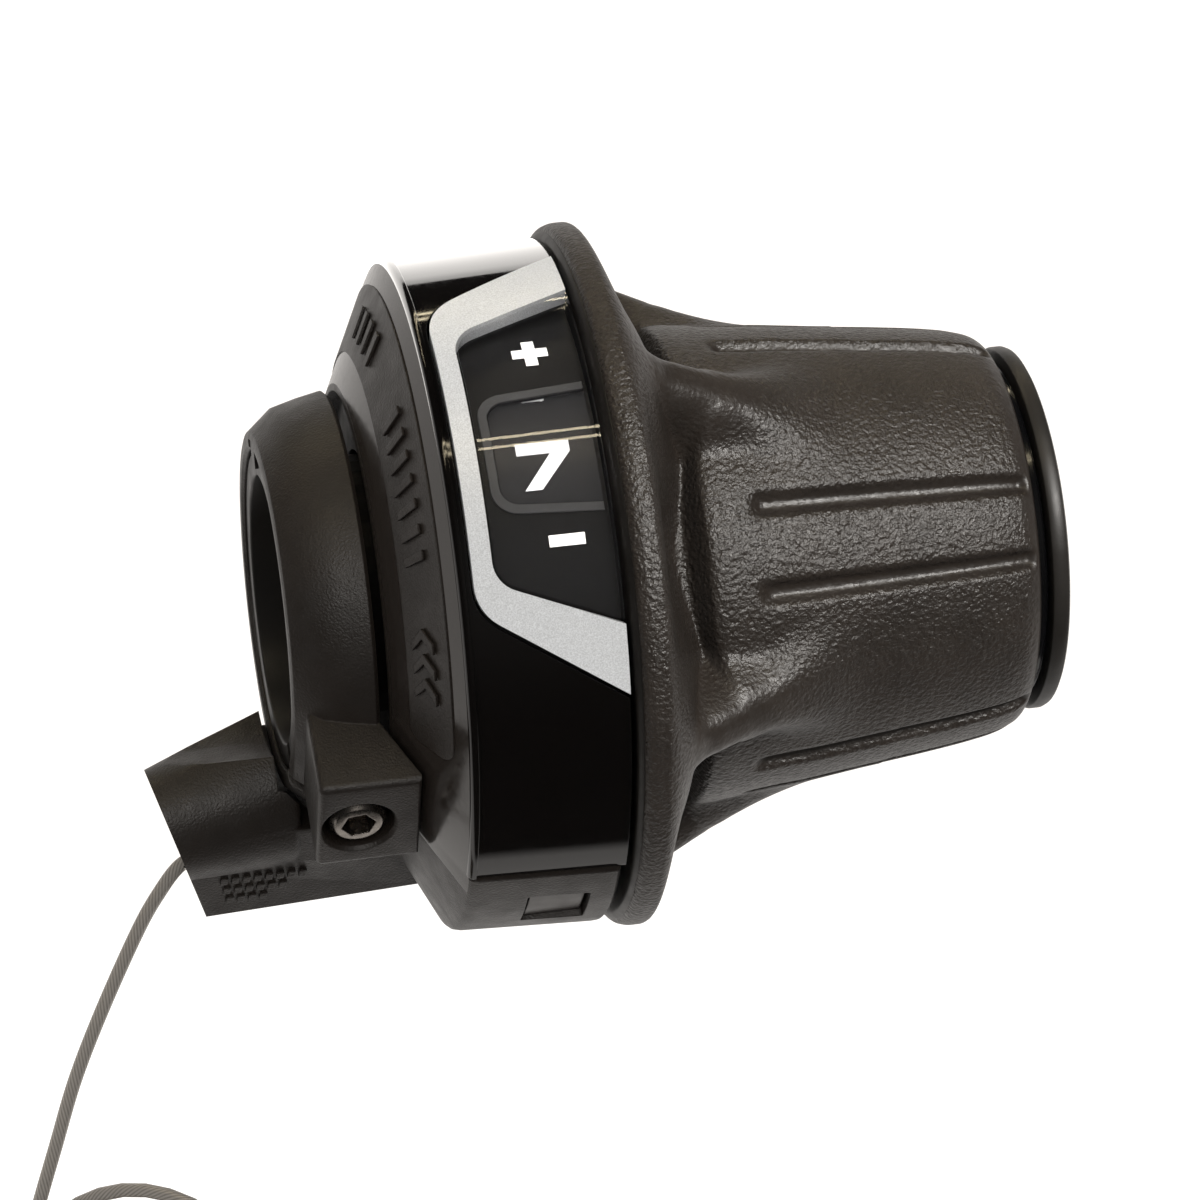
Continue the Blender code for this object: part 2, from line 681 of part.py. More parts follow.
def rubber_radius(x, deg):
    """Outer surface of the rubber: body, flange and five webs between pockets."""
    body = line(BODY_SHAPE, x)
    off = (deg - WEB_ANGLE + WEB_PITCH / 2) % WEB_PITCH - WEB_PITCH / 2
    width = 8.5 + max(0.0, x - 32.0) * 0.5
    bump = math.exp(-(off / width) ** 2)
    if x < 48.0:
        body = body + max(0.0, line(WEB_SHAPE, x) - body) * bump
    if x >= 35.0:
        return body
    hollow = math.exp(-((WEB_PITCH / 2 - abs(off)) / 21.0) ** 2)
    lean = 2.5 * hollow * min(1.0, max(0.0, (x - 28.4) / 1.2))
    return max(body, line(FLANGE_SHAPE, x + lean))


def build_rubber():
    outer = [26.9, 27.4, 28.3, 28.8, 29.3, 29.8, 30.4, 31.0, 31.9, 32.7, 33.4, 34.5, 36.2, 38.0, 40.0]
    outer += [42.5, 45.0, 48.0, 52.5, 57.0, 60.2, 61.2, 61.8, GRIP_END]
    inner = [(GRIP_END, 15.6), (32.2, 15.6), (30.6, 17.0), (27.4, 24.4), (26.9, 24.6)]
    section = [(x, 0.0) for x in outer] + inner

    def shape(x, r, deg):
        return (x, rubber_radius(x, deg)) if r == 0.0 else (x, r)

    return finish(lathe(section, 60, warp=shape), "rubber_grip", RUBBER, 60.0)


def build_number_ring():
    section = [(15.3, 25.2), (15.3, 25.8), (25.25, 25.8), (25.25, 25.2)]
    return finish(lathe(section, 48), "number_ring", MASK)


def build_detent_ring():
    section = [(17.7, 22.5), (17.7, 24.0), (20.0, 24.0), (20.0, 22.5)]

    def notched(x, r, deg):
        if x > 19.0:
            return (x, r)
        step = ((deg + 132.0 + 90.0) % 360.0 - 90.0) / CLICK_ANGLE
        nearest = round(step)
        if 0 <= nearest < CLICKS and abs(step - nearest) < 0.3:
            return (x + 0.7, r)
        return (x, r)

    return finish(lathe(section, 96, warp=notched), "detent_ring", NYLON, 25.0)


# ---- take-up drum and planets -------------------------------------------
def build_drum():
    section = [(10.3, SLEEVE_R + GAP), (10.3, 15.0), (13.8, 15.0), (13.8, 17.4), (15.0, 17.4)]
    section += [(15.3, GROOVE_R), (16.7, GROOVE_R), (17.0, 17.4), (18.4, 17.4), (18.4, 19.6)]
    section += [(20.0, 19.6), (20.0, SLEEVE_R + GAP)]
    ob = finish(lathe(section, 36), "cable_drum", NYLON)
    cut(ob, lathe([(14.3, 13.2), (14.3, 18.0), (17.7, 18.0), (17.7, 13.2)], 3, 118.0, 134.0))
    tidy(ob)
    return ob


def planet_centre(i):
    r = GEAR_MODULE * (SUN_TEETH + PLANET_TEETH) / 2
    return around(0.0, r, 120.0 * i)


def build_planet_pins():
    out = []
    for i in range(3):
        centre = planet_centre(i)
        a = Vector(((GEAR_X0 - 0.1) * MM, 0, 0))
        b = Vector(((GEAR_X1 + 0.1) * MM, 0, 0))
        ob = finish(rod(a, b, 1.2, sides=12), "planet_pin_%d" % (i + 1), STEEL)
        ob.location = centre
        out.append(ob)
    return out


def build_planets():
    out = []
    pitch = GEAR_MODULE * PLANET_TEETH / 2
    for i in range(3):
        phase = planet_phase(i)
        outline = gear_outline(PLANET_TEETH, pitch, phase=phase)
        bm = toothed(outline, 1.5, GEAR_X0, GEAR_X1)
        ob = finish(bm, "planet_gear_%d" % (i + 1), NYLON)
        ob.location = planet_centre(i)
        out.append(ob)
    return out


def planet_phase(i):
    """A planet carried round a fixed sun turns 1 + S / P times as far."""
    turn = 120.0 * i * (1.0 + SUN_TEETH / PLANET_TEETH)
    return turn * PLANET_TEETH / 360.0 % 1.0


def build_cable_head():
    a = around(14.6, 15.5, 126.0)
    b = around(17.4, 15.5, 126.0)
    return finish(rod(a, b, 1.6, sides=14), "cable_head", STEEL)


def build_cable_turn():
    points = [around(16.0, GROOVE_R + 0.9, a) for a in range(136, 221, 6)]
    return finish(sweep(points, CABLE_R, 8), "cable_turn", STEEL)


def build_inner_cable():
    knots = inner_cable_path()
    knots[0] = around(16.0, GROOVE_R + 0.9, -136.0) / MM
    return finish(sweep(spline(knots, 3), CABLE_R, 8), "inner_cable", STEEL)


# ---- free cable ---------------------------------------------------------
COIL_CENTRE = Vector((-15.2, 10.5, -61.0))
COIL_R, COIL_TUBE_R, COIL_YAW = 10.8, 3.5, -35.0


def free_cable_path():
    start = CABLE_EXIT + Vector((-0.75, 0.25, -0.4))
    knots = [start, Vector((-10.3, 9.7, -22.3)), Vector((-12.5, 10.0, -25.3))]
    knots += [Vector((-16.2, 10.5, -31.6)), Vector((-19.2, 11.0, -37.4))]
    return knots + [Vector((-21.5, 11.5, -43.0)), Vector((-23.2, 12.0, -47.2)), Vector((-24.4, 12.7, -50.4))]


def build_free_cable():
    points = spline(free_cable_path(), 2)
    curve = bpy.data.curves.new("shift_cable", "CURVE")
    curve.dimensions = "3D"
    curve.bevel_depth = CABLE_R * MM
    curve.bevel_resolution = 2
    curve.use_fill_caps = True
    route = curve.splines.new("POLY")
    route.points.add(len(points) - 1)
    for knot, point in zip(route.points, points):
        knot.co = (point.x, point.y, point.z, 1.0)
    curve.materials.append(material("shift_cable", *STEEL))
    ob = bpy.data.objects.new("shift_cable", curve)
    bpy.context.scene.collection.objects.link(ob)
    return ob


def build_coil():
    """The far length of the wire, wound up and standing as one ring."""
    bm = bmesh.new()
    segs = 26
    sides = 8
    turn = Matrix.Rotation(math.radians(COIL_YAW), 3, "Z")
    rows = []
    for i in range(segs):
        a = 2.0 * math.pi * i / segs
        row = []
        for j in range(sides):
            b = 2.0 * math.pi * j / sides
            r = COIL_R + COIL_TUBE_R * math.cos(b)
            p = Vector((r * math.cos(a), COIL_TUBE_R * math.sin(b), r * math.sin(a)))
            row.append(bm.verts.new((COIL_CENTRE + turn @ p) * MM))
        rows.append(row)
    for i in range(segs):
        a = rows[i]
        b = rows[(i + 1) % segs]
        for j in range(sides):
            k = (j + 1) % sides
            bm.faces.new((a[j], a[k], b[k], b[j]))
    return finish(bm, "cable_coil", STEEL)


# ---- assembly -----------------------------------------------------------
def parent(children, ob):
    for child in children:
        child.parent = ob


def main():
    clear_scene()
    housing = build_housing()
    fixed = [build_clamp_ring(), build_clamp_screw(), build_pressure_shoe(), build_bar_collar()]
    fixed += [build_cover(), build_bezel(), build_lens(), build_dial_mask(), build_number_pane()]
    fixed += [build_cover_latch(), build_detent_spring(), build_sleeve(), build_sun_gear()]
    fixed += [build_end_disc(), build_thrust_washer(), build_inner_cable()]
    fixed += build_cover_screws()
    parent(fixed, housing)
    core = build_grip_core()
    parent([build_ring_gear(), build_rubber(), build_number_ring(), build_detent_ring()], core)
    drum = build_drum()
    parent([build_cable_head(), build_cable_turn()] + build_planet_pins() + build_planets(), drum)
    cable = build_free_cable()
    parent([build_coil()], cable)


main()
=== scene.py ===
"""Looks of the twist-grip shifter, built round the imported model.

Lengths in the tables are millimetres and angles are degrees; MM turns them into
metres.  An angle is counted from the -Y side upwards, as in the part's frame.
"""
import math

import bmesh
import bpy
from mathutils import Matrix, Vector


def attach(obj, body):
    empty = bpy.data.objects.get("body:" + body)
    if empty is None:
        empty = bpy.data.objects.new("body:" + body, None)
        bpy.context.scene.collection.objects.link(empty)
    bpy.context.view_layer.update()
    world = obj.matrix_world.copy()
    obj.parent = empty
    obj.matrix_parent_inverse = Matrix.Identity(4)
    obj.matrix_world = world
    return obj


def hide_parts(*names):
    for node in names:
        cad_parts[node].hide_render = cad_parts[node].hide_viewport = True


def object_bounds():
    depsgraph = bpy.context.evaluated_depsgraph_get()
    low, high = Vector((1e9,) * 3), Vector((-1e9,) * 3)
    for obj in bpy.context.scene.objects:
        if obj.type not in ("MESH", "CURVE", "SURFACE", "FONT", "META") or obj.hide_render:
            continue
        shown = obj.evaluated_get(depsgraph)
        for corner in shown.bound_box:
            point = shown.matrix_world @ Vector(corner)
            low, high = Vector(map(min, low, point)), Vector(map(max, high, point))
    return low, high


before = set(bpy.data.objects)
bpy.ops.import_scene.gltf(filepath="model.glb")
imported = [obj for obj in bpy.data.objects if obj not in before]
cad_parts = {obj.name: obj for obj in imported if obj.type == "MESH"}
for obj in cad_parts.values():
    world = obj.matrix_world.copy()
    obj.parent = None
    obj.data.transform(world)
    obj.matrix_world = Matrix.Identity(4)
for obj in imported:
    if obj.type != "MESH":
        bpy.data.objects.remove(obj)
cad_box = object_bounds()

MM = 0.001

# ---- sizes shared with the CAD ------------------------------------------
BAR_BORE_R = 11.2  # handlebar bore
CLAMP_LEN = 6.67  # clamp ring along the bar
LUG_ANGLE = -52.0  # direction of the clamp screw
CONE = ((7.5, 18.1), (12.3, 27.9))  # (x, radius) at the two ends of the sloping face
WALL_X1 = 24.7  # right end of the housing wall
COVER_X0, COVER_X1 = 12.5, 25.1
COVER_LOW, COVER_HIGH = -56.6, 124.6  # angles between which the cover reaches
COVER_SCREWS, SCREW_ANGLE = (16.6, 21.6), 118.0
GRIP_END = 62.1  # right end of the rubber
DISC_X0, DISC_X1, DISC_R = 63.2, 64.8, 15.4
CLICK_ANGLE, WINDOW_ANGLE = 17.5, 20.0  # between two numbers; of the shown number
RING_R, MASK_R, LENS_R = 25.8, 26.5, 28.4
CABLE_R = 0.6
CABLE_EXIT = Vector((-8.3, 9.0, -20.4))
OUTLET_NORMAL = Vector((-0.955, 0.072, -0.285)).normalized()
OUTLET_POINT = Vector((-11.0, 4.6, -12.5))

BEND_STEP = 2.0  # degrees between the cuts that let a flat plate bend
CORNER_STEPS = 8  # pieces of a rounded corner


# ---- geometry helpers ---------------------------------------------------
def around(x, r, deg):
    """Point at x along the bar, radius r, angle deg, in metres."""
    a = math.radians(deg)
    return Vector((x * MM, -r * math.cos(a) * MM, r * math.sin(a) * MM))


def arc_mm(r):
    """Millimetres of arc for one degree at radius r."""
    return math.radians(r)


def metres(x, y, z):
    return Vector((x * MM, y * MM, z * MM))


def skin(bm, a, b, closed=True):
    """Faces between two rows of vertices."""
    n = len(a)
    for i in range(n if closed else n - 1):
        j = (i + 1) % n
        bm.faces.new((a[i], a[j], b[j], b[i]))


def cap_ends(bm, rows):
    bm.faces.new(rows[0])
    bm.faces.new(list(reversed(rows[-1])))


def mesh_object(bm, name, mat, sharp=32.0):
    """Object of a finished bmesh; edges sharper than the angle stay sharp."""
    bmesh.ops.remove_doubles(bm, verts=bm.verts, dist=1e-7)
    bmesh.ops.recalc_face_normals(bm, faces=bm.faces)
    mesh = bpy.data.meshes.new(name)
    bm.to_mesh(mesh)
    bm.free()
    ob = bpy.data.objects.new(name, mesh)
    bpy.context.scene.collection.objects.link(ob)
    mesh.materials.append(mat)
    mesh.shade_smooth()
    mesh.set_sharp_from_angle(angle=math.radians(sharp))
    return ob


def lathe(section, segs=144, start=None, stop=None):
    """A closed (x, radius) section turned about the bar, all round or from start to stop."""
    bm = bmesh.new()
    full = start is None
    count = segs if full else segs + 1
    rows = []
    for i in range(count):
        deg = 360.0 * i / segs if full else start + (stop - start) * i / segs
        rows.append([bm.verts.new(around(x, r, deg)) for x, r in section])
    for i in range(count if full else count - 1):
        skin(bm, rows[i], rows[(i + 1) % count])
    if not full:
        cap_ends(bm, rows)
    bmesh.ops.recalc_face_normals(bm, faces=bm.faces)
    return bm


def prism(outline_a, outline_b):
    """Solid between two outlines with the same number of points."""
    bm = bmesh.new()
    rows = [[bm.verts.new(p) for p in outline] for outline in (outline_a, outline_b)]
    cap_ends(bm, rows)
    skin(bm, *rows)
    bmesh.ops.recalc_face_normals(bm, faces=bm.faces)
    return bm


def turned(a, b, profile, sides=48):
    """Solid of revolution about the line from a towards b; profile is (distance, radius)."""
    axis = (b - a).normalized()
    side = axis.orthogonal().normalized()
    other = axis.cross(side)
    bm = bmesh.new()
    rows = []
    for d, r in profile:
        row = []
        for i in range(sides):
            t = 2.0 * math.pi * i / sides
            out = side * math.cos(t) + other * math.sin(t)
            row.append(bm.verts.new(a + axis * d * MM + out * r * MM))
        rows.append(row)
    for p, q in zip(rows[:-1], rows[1:]):
        skin(bm, p, q)
    cap_ends(bm, rows)
    bmesh.ops.recalc_face_normals(bm, faces=bm.faces)
    return bm


def rounded(corners, radii, steps=CORNER_STEPS):
    """The outline with its corners rounded to the given radii; 0 keeps a corner."""
    out = []
    n = len(corners)
    for i in range(n):
        here = Vector(corners[i])
        back = Vector(corners[i - 1]) - here
        ahead = Vector(corners[(i + 1) % n]) - here
        if radii[i] <= 0:
            out.append(tuple(here))
            continue
        half = back.angle(ahead) / 2.0
        reach = radii[i] / math.tan(half)
        way = (back.normalized() + ahead.normalized()).normalized()
        centre = here + way * (radii[i] / math.sin(half))
        p = here + back.normalized() * reach - centre
        q = here + ahead.normalized() * reach - centre
        sweep = p.angle_signed(q)
        for s in range(steps + 1):
            out.append(tuple(centre + Matrix.Rotation(-sweep * s / steps, 2) @ p))
    return out


def patch(name, mat, outlines, scale, place, low, high, chamfer=0.0):
    """Plates bent onto a surface.

    outlines are closed loops of (u, s) in mm, s being arc length with scale mm per
    degree; place(u, degrees, height) is the surface; the plates fill low..high.
    """
    bm = bmesh.new()
    for outline in outlines:
        bm.faces.new([bm.verts.new((u, s, 0.0)) for u, s in outline])
    bmesh.ops.recalc_face_normals(bm, faces=bm.faces)
    if chamfer:
        bmesh.ops.inset_region(bm, faces=list(bm.faces), thickness=chamfer, use_even_offset=True)
    rim = bm.verts.layers.int.new("rim")
    for v in bm.verts:
        v[rim] = 1 if v.is_boundary else 0
    lows = min(v.co.y for v in bm.verts)
    highs = max(v.co.y for v in bm.verts)
    pitch = BEND_STEP * scale
    k = math.ceil(lows / pitch + 0.02)
    while k * pitch < highs - 0.02 * pitch:
        geom = list(bm.verts) + list(bm.edges) + list(bm.faces)
        bmesh.ops.bisect_plane(bm, geom=geom, dist=1e-5, plane_co=(0, k * pitch, 0),
                               plane_no=(0, 1, 0))
        k += 1
    for v in bm.verts:
        if v.is_boundary:
            v[rim] = 1
    res = bmesh.ops.extrude_face_region(bm, geom=list(bm.faces))
    for v in res["geom"]:
        if isinstance(v, bmesh.types.BMVert):
            v.co.z = high - chamfer if v[rim] and chamfer else high
    for v in bm.verts:
        if v.co.z == 0.0:
            v.co.z = low
    bmesh.ops.triangulate(bm, faces=[f for f in bm.faces if len(f.verts) > 4])
    for v in bm.verts:
        u, s, h = v.co
        v.co = place(u, s / scale, h)
    ob = mesh_object(bm, name, mat, 28.0)
    use_surface_normals(ob, place)
    return ob


def use_surface_normals(ob, place):
    """Give the top faces of a plate the normals of the round surface below them."""
    mesh = ob.data
    normals = [None] * len(mesh.loops)
    for poly in mesh.polygons:
        for li in poly.loop_indices:
            v = mesh.vertices[mesh.loops[li].vertex_index].co
            out = place.normal(v)
            normals[li] = out if poly.normal.dot(out) > 0.995 else poly.normal.copy()
    mesh.normals_split_custom_set(normals)


class Drum:
    """Round surface about the bar: radius base(x) plus height."""

    def __init__(self, base):
        self.base = base if callable(base) else (lambda x: base)

    def __call__(self, x, deg, h):
        return around(x, self.base(x) + h, deg)

    def normal(self, p):
        x = p.x / MM
        slope = self.base(x + 0.5) - self.base(x - 0.5)
        out = Vector((0.0, p.y, p.z)).normalized()
        return Vector((-slope, out.y, out.z)).normalized()


class Cone:
    """The housing's cone face: u is the radius."""

    def __init__(self):
        (x0, r0), (x1, r1) = CONE
        self.x0, self.r0 = x0, r0
        self.tilt = (x1 - x0) / (r1 - r0)
        length = math.hypot(1.0, self.tilt)
        self.nx, self.nr = -1.0 / length, self.tilt / length

    def __call__(self, r, deg, h):
        x = self.x0 + (r - self.r0) * self.tilt
        return around(x + self.nx * h, r + self.nr * h, deg)

    def normal(self, p):
        out = Vector((0.0, p.y, p.z)).normalized()
        return Vector((self.nx, out.y * self.nr, out.z * self.nr)).normalized()


def boolean(ob, bm, operation):
    """Cut a bmesh solid out of an object's mesh, or join it on."""
    mesh = bpy.data.meshes.new("cutter")
    bm.to_mesh(mesh)
    bm.free()
    other = bpy.data.objects.new("cutter", mesh)
    bpy.context.scene.collection.objects.link(other)
    mod = ob.modifiers.new("Shape", "BOOLEAN")
    mod.operation = operation
    mod.object = other
    mod.solver = "EXACT"
    depsgraph = bpy.context.evaluated_depsgraph_get()
    result = bpy.data.meshes.new_from_object(ob.evaluated_get(depsgraph))
    ob.modifiers.clear()
    old = ob.data
    ob.data = result
    bpy.data.meshes.remove(old)
    bpy.data.objects.remove(other, do_unlink=True)
    bpy.data.meshes.remove(mesh)


def cut(ob, bm):
    boolean(ob, bm, "DIFFERENCE")


def add(ob, bm):
    boolean(ob, bm, "UNION")


def tidy(ob, sharp=30.0):
    """Merge the slivers that a boolean leaves, and shade the mesh again."""
    bm = bmesh.new()
    bm.from_mesh(ob.data)
    bmesh.ops.remove_doubles(bm, verts=bm.verts, dist=2e-6)
    bmesh.ops.dissolve_degenerate(bm, edges=bm.edges, dist=2e-6)
    bm.to_mesh(ob.data)
    bm.free()
    ob.data.shade_smooth()
    ob.data.set_sharp_from_angle(angle=math.radians(sharp))


def place_piece(ob, body, slot, *nodes):
    """The piece rides on a body and stands for CAD nodes, which it hides; slot is not used."""
    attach(ob, body)
    if nodes:
        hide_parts(*nodes)
    return ob


def smooth_curve(table, x):
    """Value at x of a smooth curve through (x, value) points."""
    if x <= table[0][0]:
        return table[0][1]
    for i in range(len(table) - 1):
        x0, y0 = table[i]
        x1, y1 = table[i + 1]
        if x <= x1:
            m = (y1 - y0) / (x1 - x0)
            before = after = m
            if i > 0:
                before = (y0 - table[i - 1][1]) / (x0 - table[i - 1][0])
            if i + 2 < len(table):
                after = (table[i + 2][1] - y1) / (table[i + 2][0] - x1)
            m0 = 0.5 * (before + m) if before * m > 0 else 0.0
            m1 = 0.5 * (after + m) if after * m > 0 else 0.0
            d = x1 - x0
            t = (x - x0) / d
            return ((2 * t ** 3 - 3 * t * t + 1) * y0 + (t ** 3 - 2 * t * t + t) * d * m0
                    + (3 * t * t - 2 * t ** 3) * y1 + (t ** 3 - t * t) * d * m1)
    return table[-1][1]


def soft_max(a, b, k):
    """The larger of a and b, blended over about k where they meet."""
    return 0.5 * (a + b + math.sqrt((a - b) ** 2 + k * k))


def fade(x, a, b):
    """0 before a, 1 after b, smooth between."""
    t = min(1.0, max(0.0, (x - a) / (b - a)))
    return t * t * (3 - 2 * t)


# ---- materials ----------------------------------------------------------
class Shader:
    """A Principled material with short calls for its nodes."""

    def __init__(self, name, colour, roughness, metallic=0.0):
        self.mat = bpy.data.materials.new(name)
        self.mat.use_nodes = True
        self.tree = self.mat.node_tree
        self.bsdf = self.tree.nodes["Principled BSDF"]
        self.bsdf.inputs["Base Color"].default_value = (*colour, 1.0)
        self.bsdf.inputs["Roughness"].default_value = roughness
        self.bsdf.inputs["Metallic"].default_value = metallic
        self.mat.diffuse_color = (*colour, 1.0)
        self.coords = self.tree.nodes.new("ShaderNodeTexCoord").outputs["Object"]
        self.normal = None

    def node(self, kind, **values):
        n = self.tree.nodes.new(kind)
        for key, value in values.items():
            setattr(n, key, value)
        return n

    def link(self, a, b):
        self.tree.links.new(a, b)

    def noise(self, size_mm, detail=3.0, rough=0.55):
        n = self.node("ShaderNodeTexNoise")
        n.inputs["Scale"].default_value = 1.0 / (size_mm * MM)
        n.inputs["Detail"].default_value = detail
        n.inputs["Roughness"].default_value = rough
        self.link(self.coords, n.inputs["Vector"])
        return n.outputs["Fac"]

    def cells(self, size_mm, feature="F1"):
        n = self.node("ShaderNodeTexVoronoi", feature=feature)
        n.inputs["Scale"].default_value = 1.0 / (size_mm * MM)
        self.link(self.coords, n.inputs["Vector"])
        return n.outputs["Distance"]

    def ramp(self, fac, low, high, a=0.3, b=0.7):
        n = self.node("ShaderNodeValToRGB")
        n.color_ramp.elements[0].position = a
        n.color_ramp.elements[1].position = b
        n.color_ramp.elements[0].color = low
        n.color_ramp.elements[1].color = high
        self.link(fac, n.inputs["Fac"])
        return n.outputs["Color"]

    def colour(self, fac, low, high, a=0.3, b=0.7):
        self.link(self.ramp(fac, (*low, 1), (*high, 1), a, b), self.bsdf.inputs["Base Color"])

    def rough(self, fac, low, high, a=0.3, b=0.7):
        grey = self.ramp(fac, (low,) * 3 + (1,), (high,) * 3 + (1,), a, b)
        self.link(grey, self.bsdf.inputs["Roughness"])

    def round_edges(self, radius_mm):
        n = self.node("ShaderNodeBevel", samples=4)
        n.inputs["Radius"].default_value = radius_mm * MM
        self.normal = n.outputs["Normal"]
        self.link(self.normal, self.bsdf.inputs["Normal"])

    def bump(self, height, depth_mm, strength=1.0):
        n = self.node("ShaderNodeBump")
        n.inputs["Strength"].default_value = strength
        n.inputs["Distance"].default_value = depth_mm * MM
        self.link(height, n.inputs["Height"])
        if self.normal:
            self.link(self.normal, n.inputs["Normal"])
        self.normal = n.outputs["Normal"]
        self.link(self.normal, self.bsdf.inputs["Normal"])

    def mul(self, a, b):
        n = self.node("ShaderNodeMath", operation="MULTIPLY")
        self.link(a, n.inputs[0])
        self.link(b, n.inputs[1])
        return n.outputs[0]

    def mix(self, fac, a, b):
        """Mix of two shaders; fac is a number or a socket."""
        n = self.node("ShaderNodeMixShader")
        if isinstance(fac, float):
            n.inputs["Fac"].default_value = fac
        else:
            self.link(fac, n.inputs["Fac"])
        self.link(a, n.inputs[1])
        self.link(b, n.inputs[2])
        return n.outputs[0]

    def surface(self, shader):
        self.link(shader, self.tree.nodes["Material Output"].inputs["Surface"])


def tint(colour, k):
    """The colour made k times as bright."""
    return tuple(min(1.0, c * k) for c in colour)


# grain, depth, edges and every size of a noise are millimetres on the object
def moulded(name, colour, rough, grain=0.16, depth=0.012, edges=0.18, shine=0.5):
    """Moulded plastic: fine grain, slight mottling, edges that catch the light."""
    s = Shader(name, colour, rough)
    s.bsdf.inputs["Specular IOR Level"].default_value = shine
    s.colour(s.noise(6.0, 4.0), tint(colour, 0.86), tint(colour, 1.16))
    s.rough(s.noise(2.2, 2.0), rough - 0.05, rough + 0.06)
    if edges:
        s.round_edges(edges)
    s.bump(s.noise(grain, 2.0), depth)
    return s.mat


def gloss(name, colour, rough=0.06, edges=0.12):
    """Polished plastic with uneven wear and a faint ripple."""
    s = Shader(name, colour, rough)
    s.colour(s.noise(9.0, 2.0), tint(colour, 0.9), tint(colour, 1.1))
    s.rough(s.noise(0.9, 5.0, 0.7), rough * 0.7, rough * 1.8, 0.35, 0.75)
    s.round_edges(edges)
    s.bump(s.noise(4.5, 1.0), 0.002, 0.5)
    return s.mat


def steel(name, colour, rough, edges=0.1):
    s = Shader(name, colour, rough, 1.0)
    s.colour(s.noise(1.3, 4.0), tint(colour, 0.75), tint(colour, 1.15))
    s.rough(s.noise(0.4, 3.0), rough * 0.75, rough * 1.3)
    s.round_edges(edges)
    s.bump(s.noise(0.12, 2.0), 0.004)
    return s.mat


def silver_paint():
    """Metal flake paint."""
    colour = (0.62, 0.64, 0.655)
    s = Shader("silver_trim", colour, 0.4, 0.25)
    s.colour(s.noise(0.11, 1.0, 0.6), tint(colour, 0.86), tint(colour, 1.15), 0.35, 0.68)
    s.rough(s.noise(0.15, 1.0), 0.34, 0.5)
    s.bump(s.noise(0.1, 1.0), 0.004, 0.6)
    return s.mat


def rubber():
    """Grained rubber; the mesh attribute says where the mould was grained."""
    colour = (0.0118, 0.0091, 0.0072)
    s = Shader("grip_rubber", colour, 0.4)
    s.bsdf.inputs["Specular IOR Level"].default_value = 0.42
    s.colour(s.noise(5.0, 4.0), tint(colour, 0.85), tint(colour, 1.2))
    s.rough(s.noise(0.5, 2.0), 0.33, 0.47)
    mask = s.node("ShaderNodeAttribute", attribute_name="grain").outputs["Fac"]
    s.bump(s.mul(s.noise(0.36, 2.5, 0.55), mask), 0.19, 1.0)
    s.bump(s.mul(s.cells(0.42, "SMOOTH_F1"), mask), 0.09, 0.9)
    return s.mat


def wire():
    """Stranded wire: slanting ridges from the tube's own coordinates."""
    colour = (0.33, 0.31, 0.285)
    s = Shader("wire_steel", colour, 0.42, 0.55)
    uv = s.node("ShaderNodeUVMap", uv_map="lay").outputs["UV"]
    wave = s.node("ShaderNodeTexWave", wave_type="BANDS", bands_direction="DIAGONAL")
    wave.inputs["Scale"].default_value = 3.6
    s.link(uv, wave.inputs["Vector"])
    s.colour(wave.outputs["Fac"], tint(colour, 0.72), tint(colour, 1.12), 0.1, 0.7)
    s.rough(s.noise(0.5, 3.0), 0.36, 0.5)
    s.bump(wave.outputs["Fac"], 0.03, 0.7)
    return s.mat


def clear(name, tint_colour, share, roughness, straight_on=0.04):
    """Polished clear plastic: a clear body with a share of haze under a gloss coat.

    straight_on is what the coat mirrors where it is seen square on.
    """
    s = Shader(name, (0.0, 0.0, 0.0), roughness)
    s.rough(s.noise(0.8, 5.0, 0.7), roughness, roughness + 0.05, 0.4, 0.8)
    through = s.node("ShaderNodeBsdfTransparent")
    through.inputs["Color"].default_value = (*tint_colour, 1.0)
    haze = s.node("ShaderNodeBsdfDiffuse")
    haze.inputs["Color"].default_value = (0.35, 0.36, 0.38, 1.0)
    body = s.mix(share, through.outputs[0], haze.outputs[0])
    coat = s.node("ShaderNodeBsdfGlossy")
    coat.inputs["Roughness"].default_value = roughness
    facing = s.node("ShaderNodeLayerWeight")
    fifth = s.node("ShaderNodeMath", operation="POWER")
    fifth.inputs[1].default_value = 5.0
    s.link(facing.outputs["Facing"], fifth.inputs[0])
    mirror = s.node("ShaderNodeMath", operation="MULTIPLY_ADD")
    mirror.inputs[1].default_value = 1.0 - straight_on
    mirror.inputs[2].default_value = straight_on
    s.link(fifth.outputs[0], mirror.inputs[0])
    s.surface(s.mix(mirror.outputs[0], body, coat.outputs[0]))
    return s.mat


HOUSING = moulded("housing_plastic", (0.0100, 0.0076, 0.0060), 0.42, 0.2, 0.06, shine=0.42)
DARK = moulded("dark_plastic", (0.0085, 0.0074, 0.0064), 0.42, depth=0.01, shine=0.35)
CONE_GLOSS = gloss("cone_gloss", (0.010, 0.0082, 0.0070), 0.13)
SATIN = moulded("latch_plastic", (0.02, 0.017, 0.015), 0.36, 0.3, 0.008, shine=0.4)
GLOSS = gloss("gloss_black", (0.0022, 0.0018, 0.0017))
NECK = gloss("neck_gloss", (0.006, 0.006, 0.007), 0.12)
SILVER = silver_paint()
RUBBER = rubber()
WIRE = wire()
LENS = clear("clear_lens", (0.985, 0.985, 0.99), 0.004, 0.03)
PANE = clear("smoke_pane", (0.97, 0.97, 0.98), 0.03, 0.25, 0.01)
FRAME = moulded("pane_frame", (0.075, 0.075, 0.075), 0.4, 0.3, 0.003, 0.15)
DIAL = moulded("dial_black", (0.010, 0.010, 0.011), 0.45, 0.25, 0.004, 0.0)
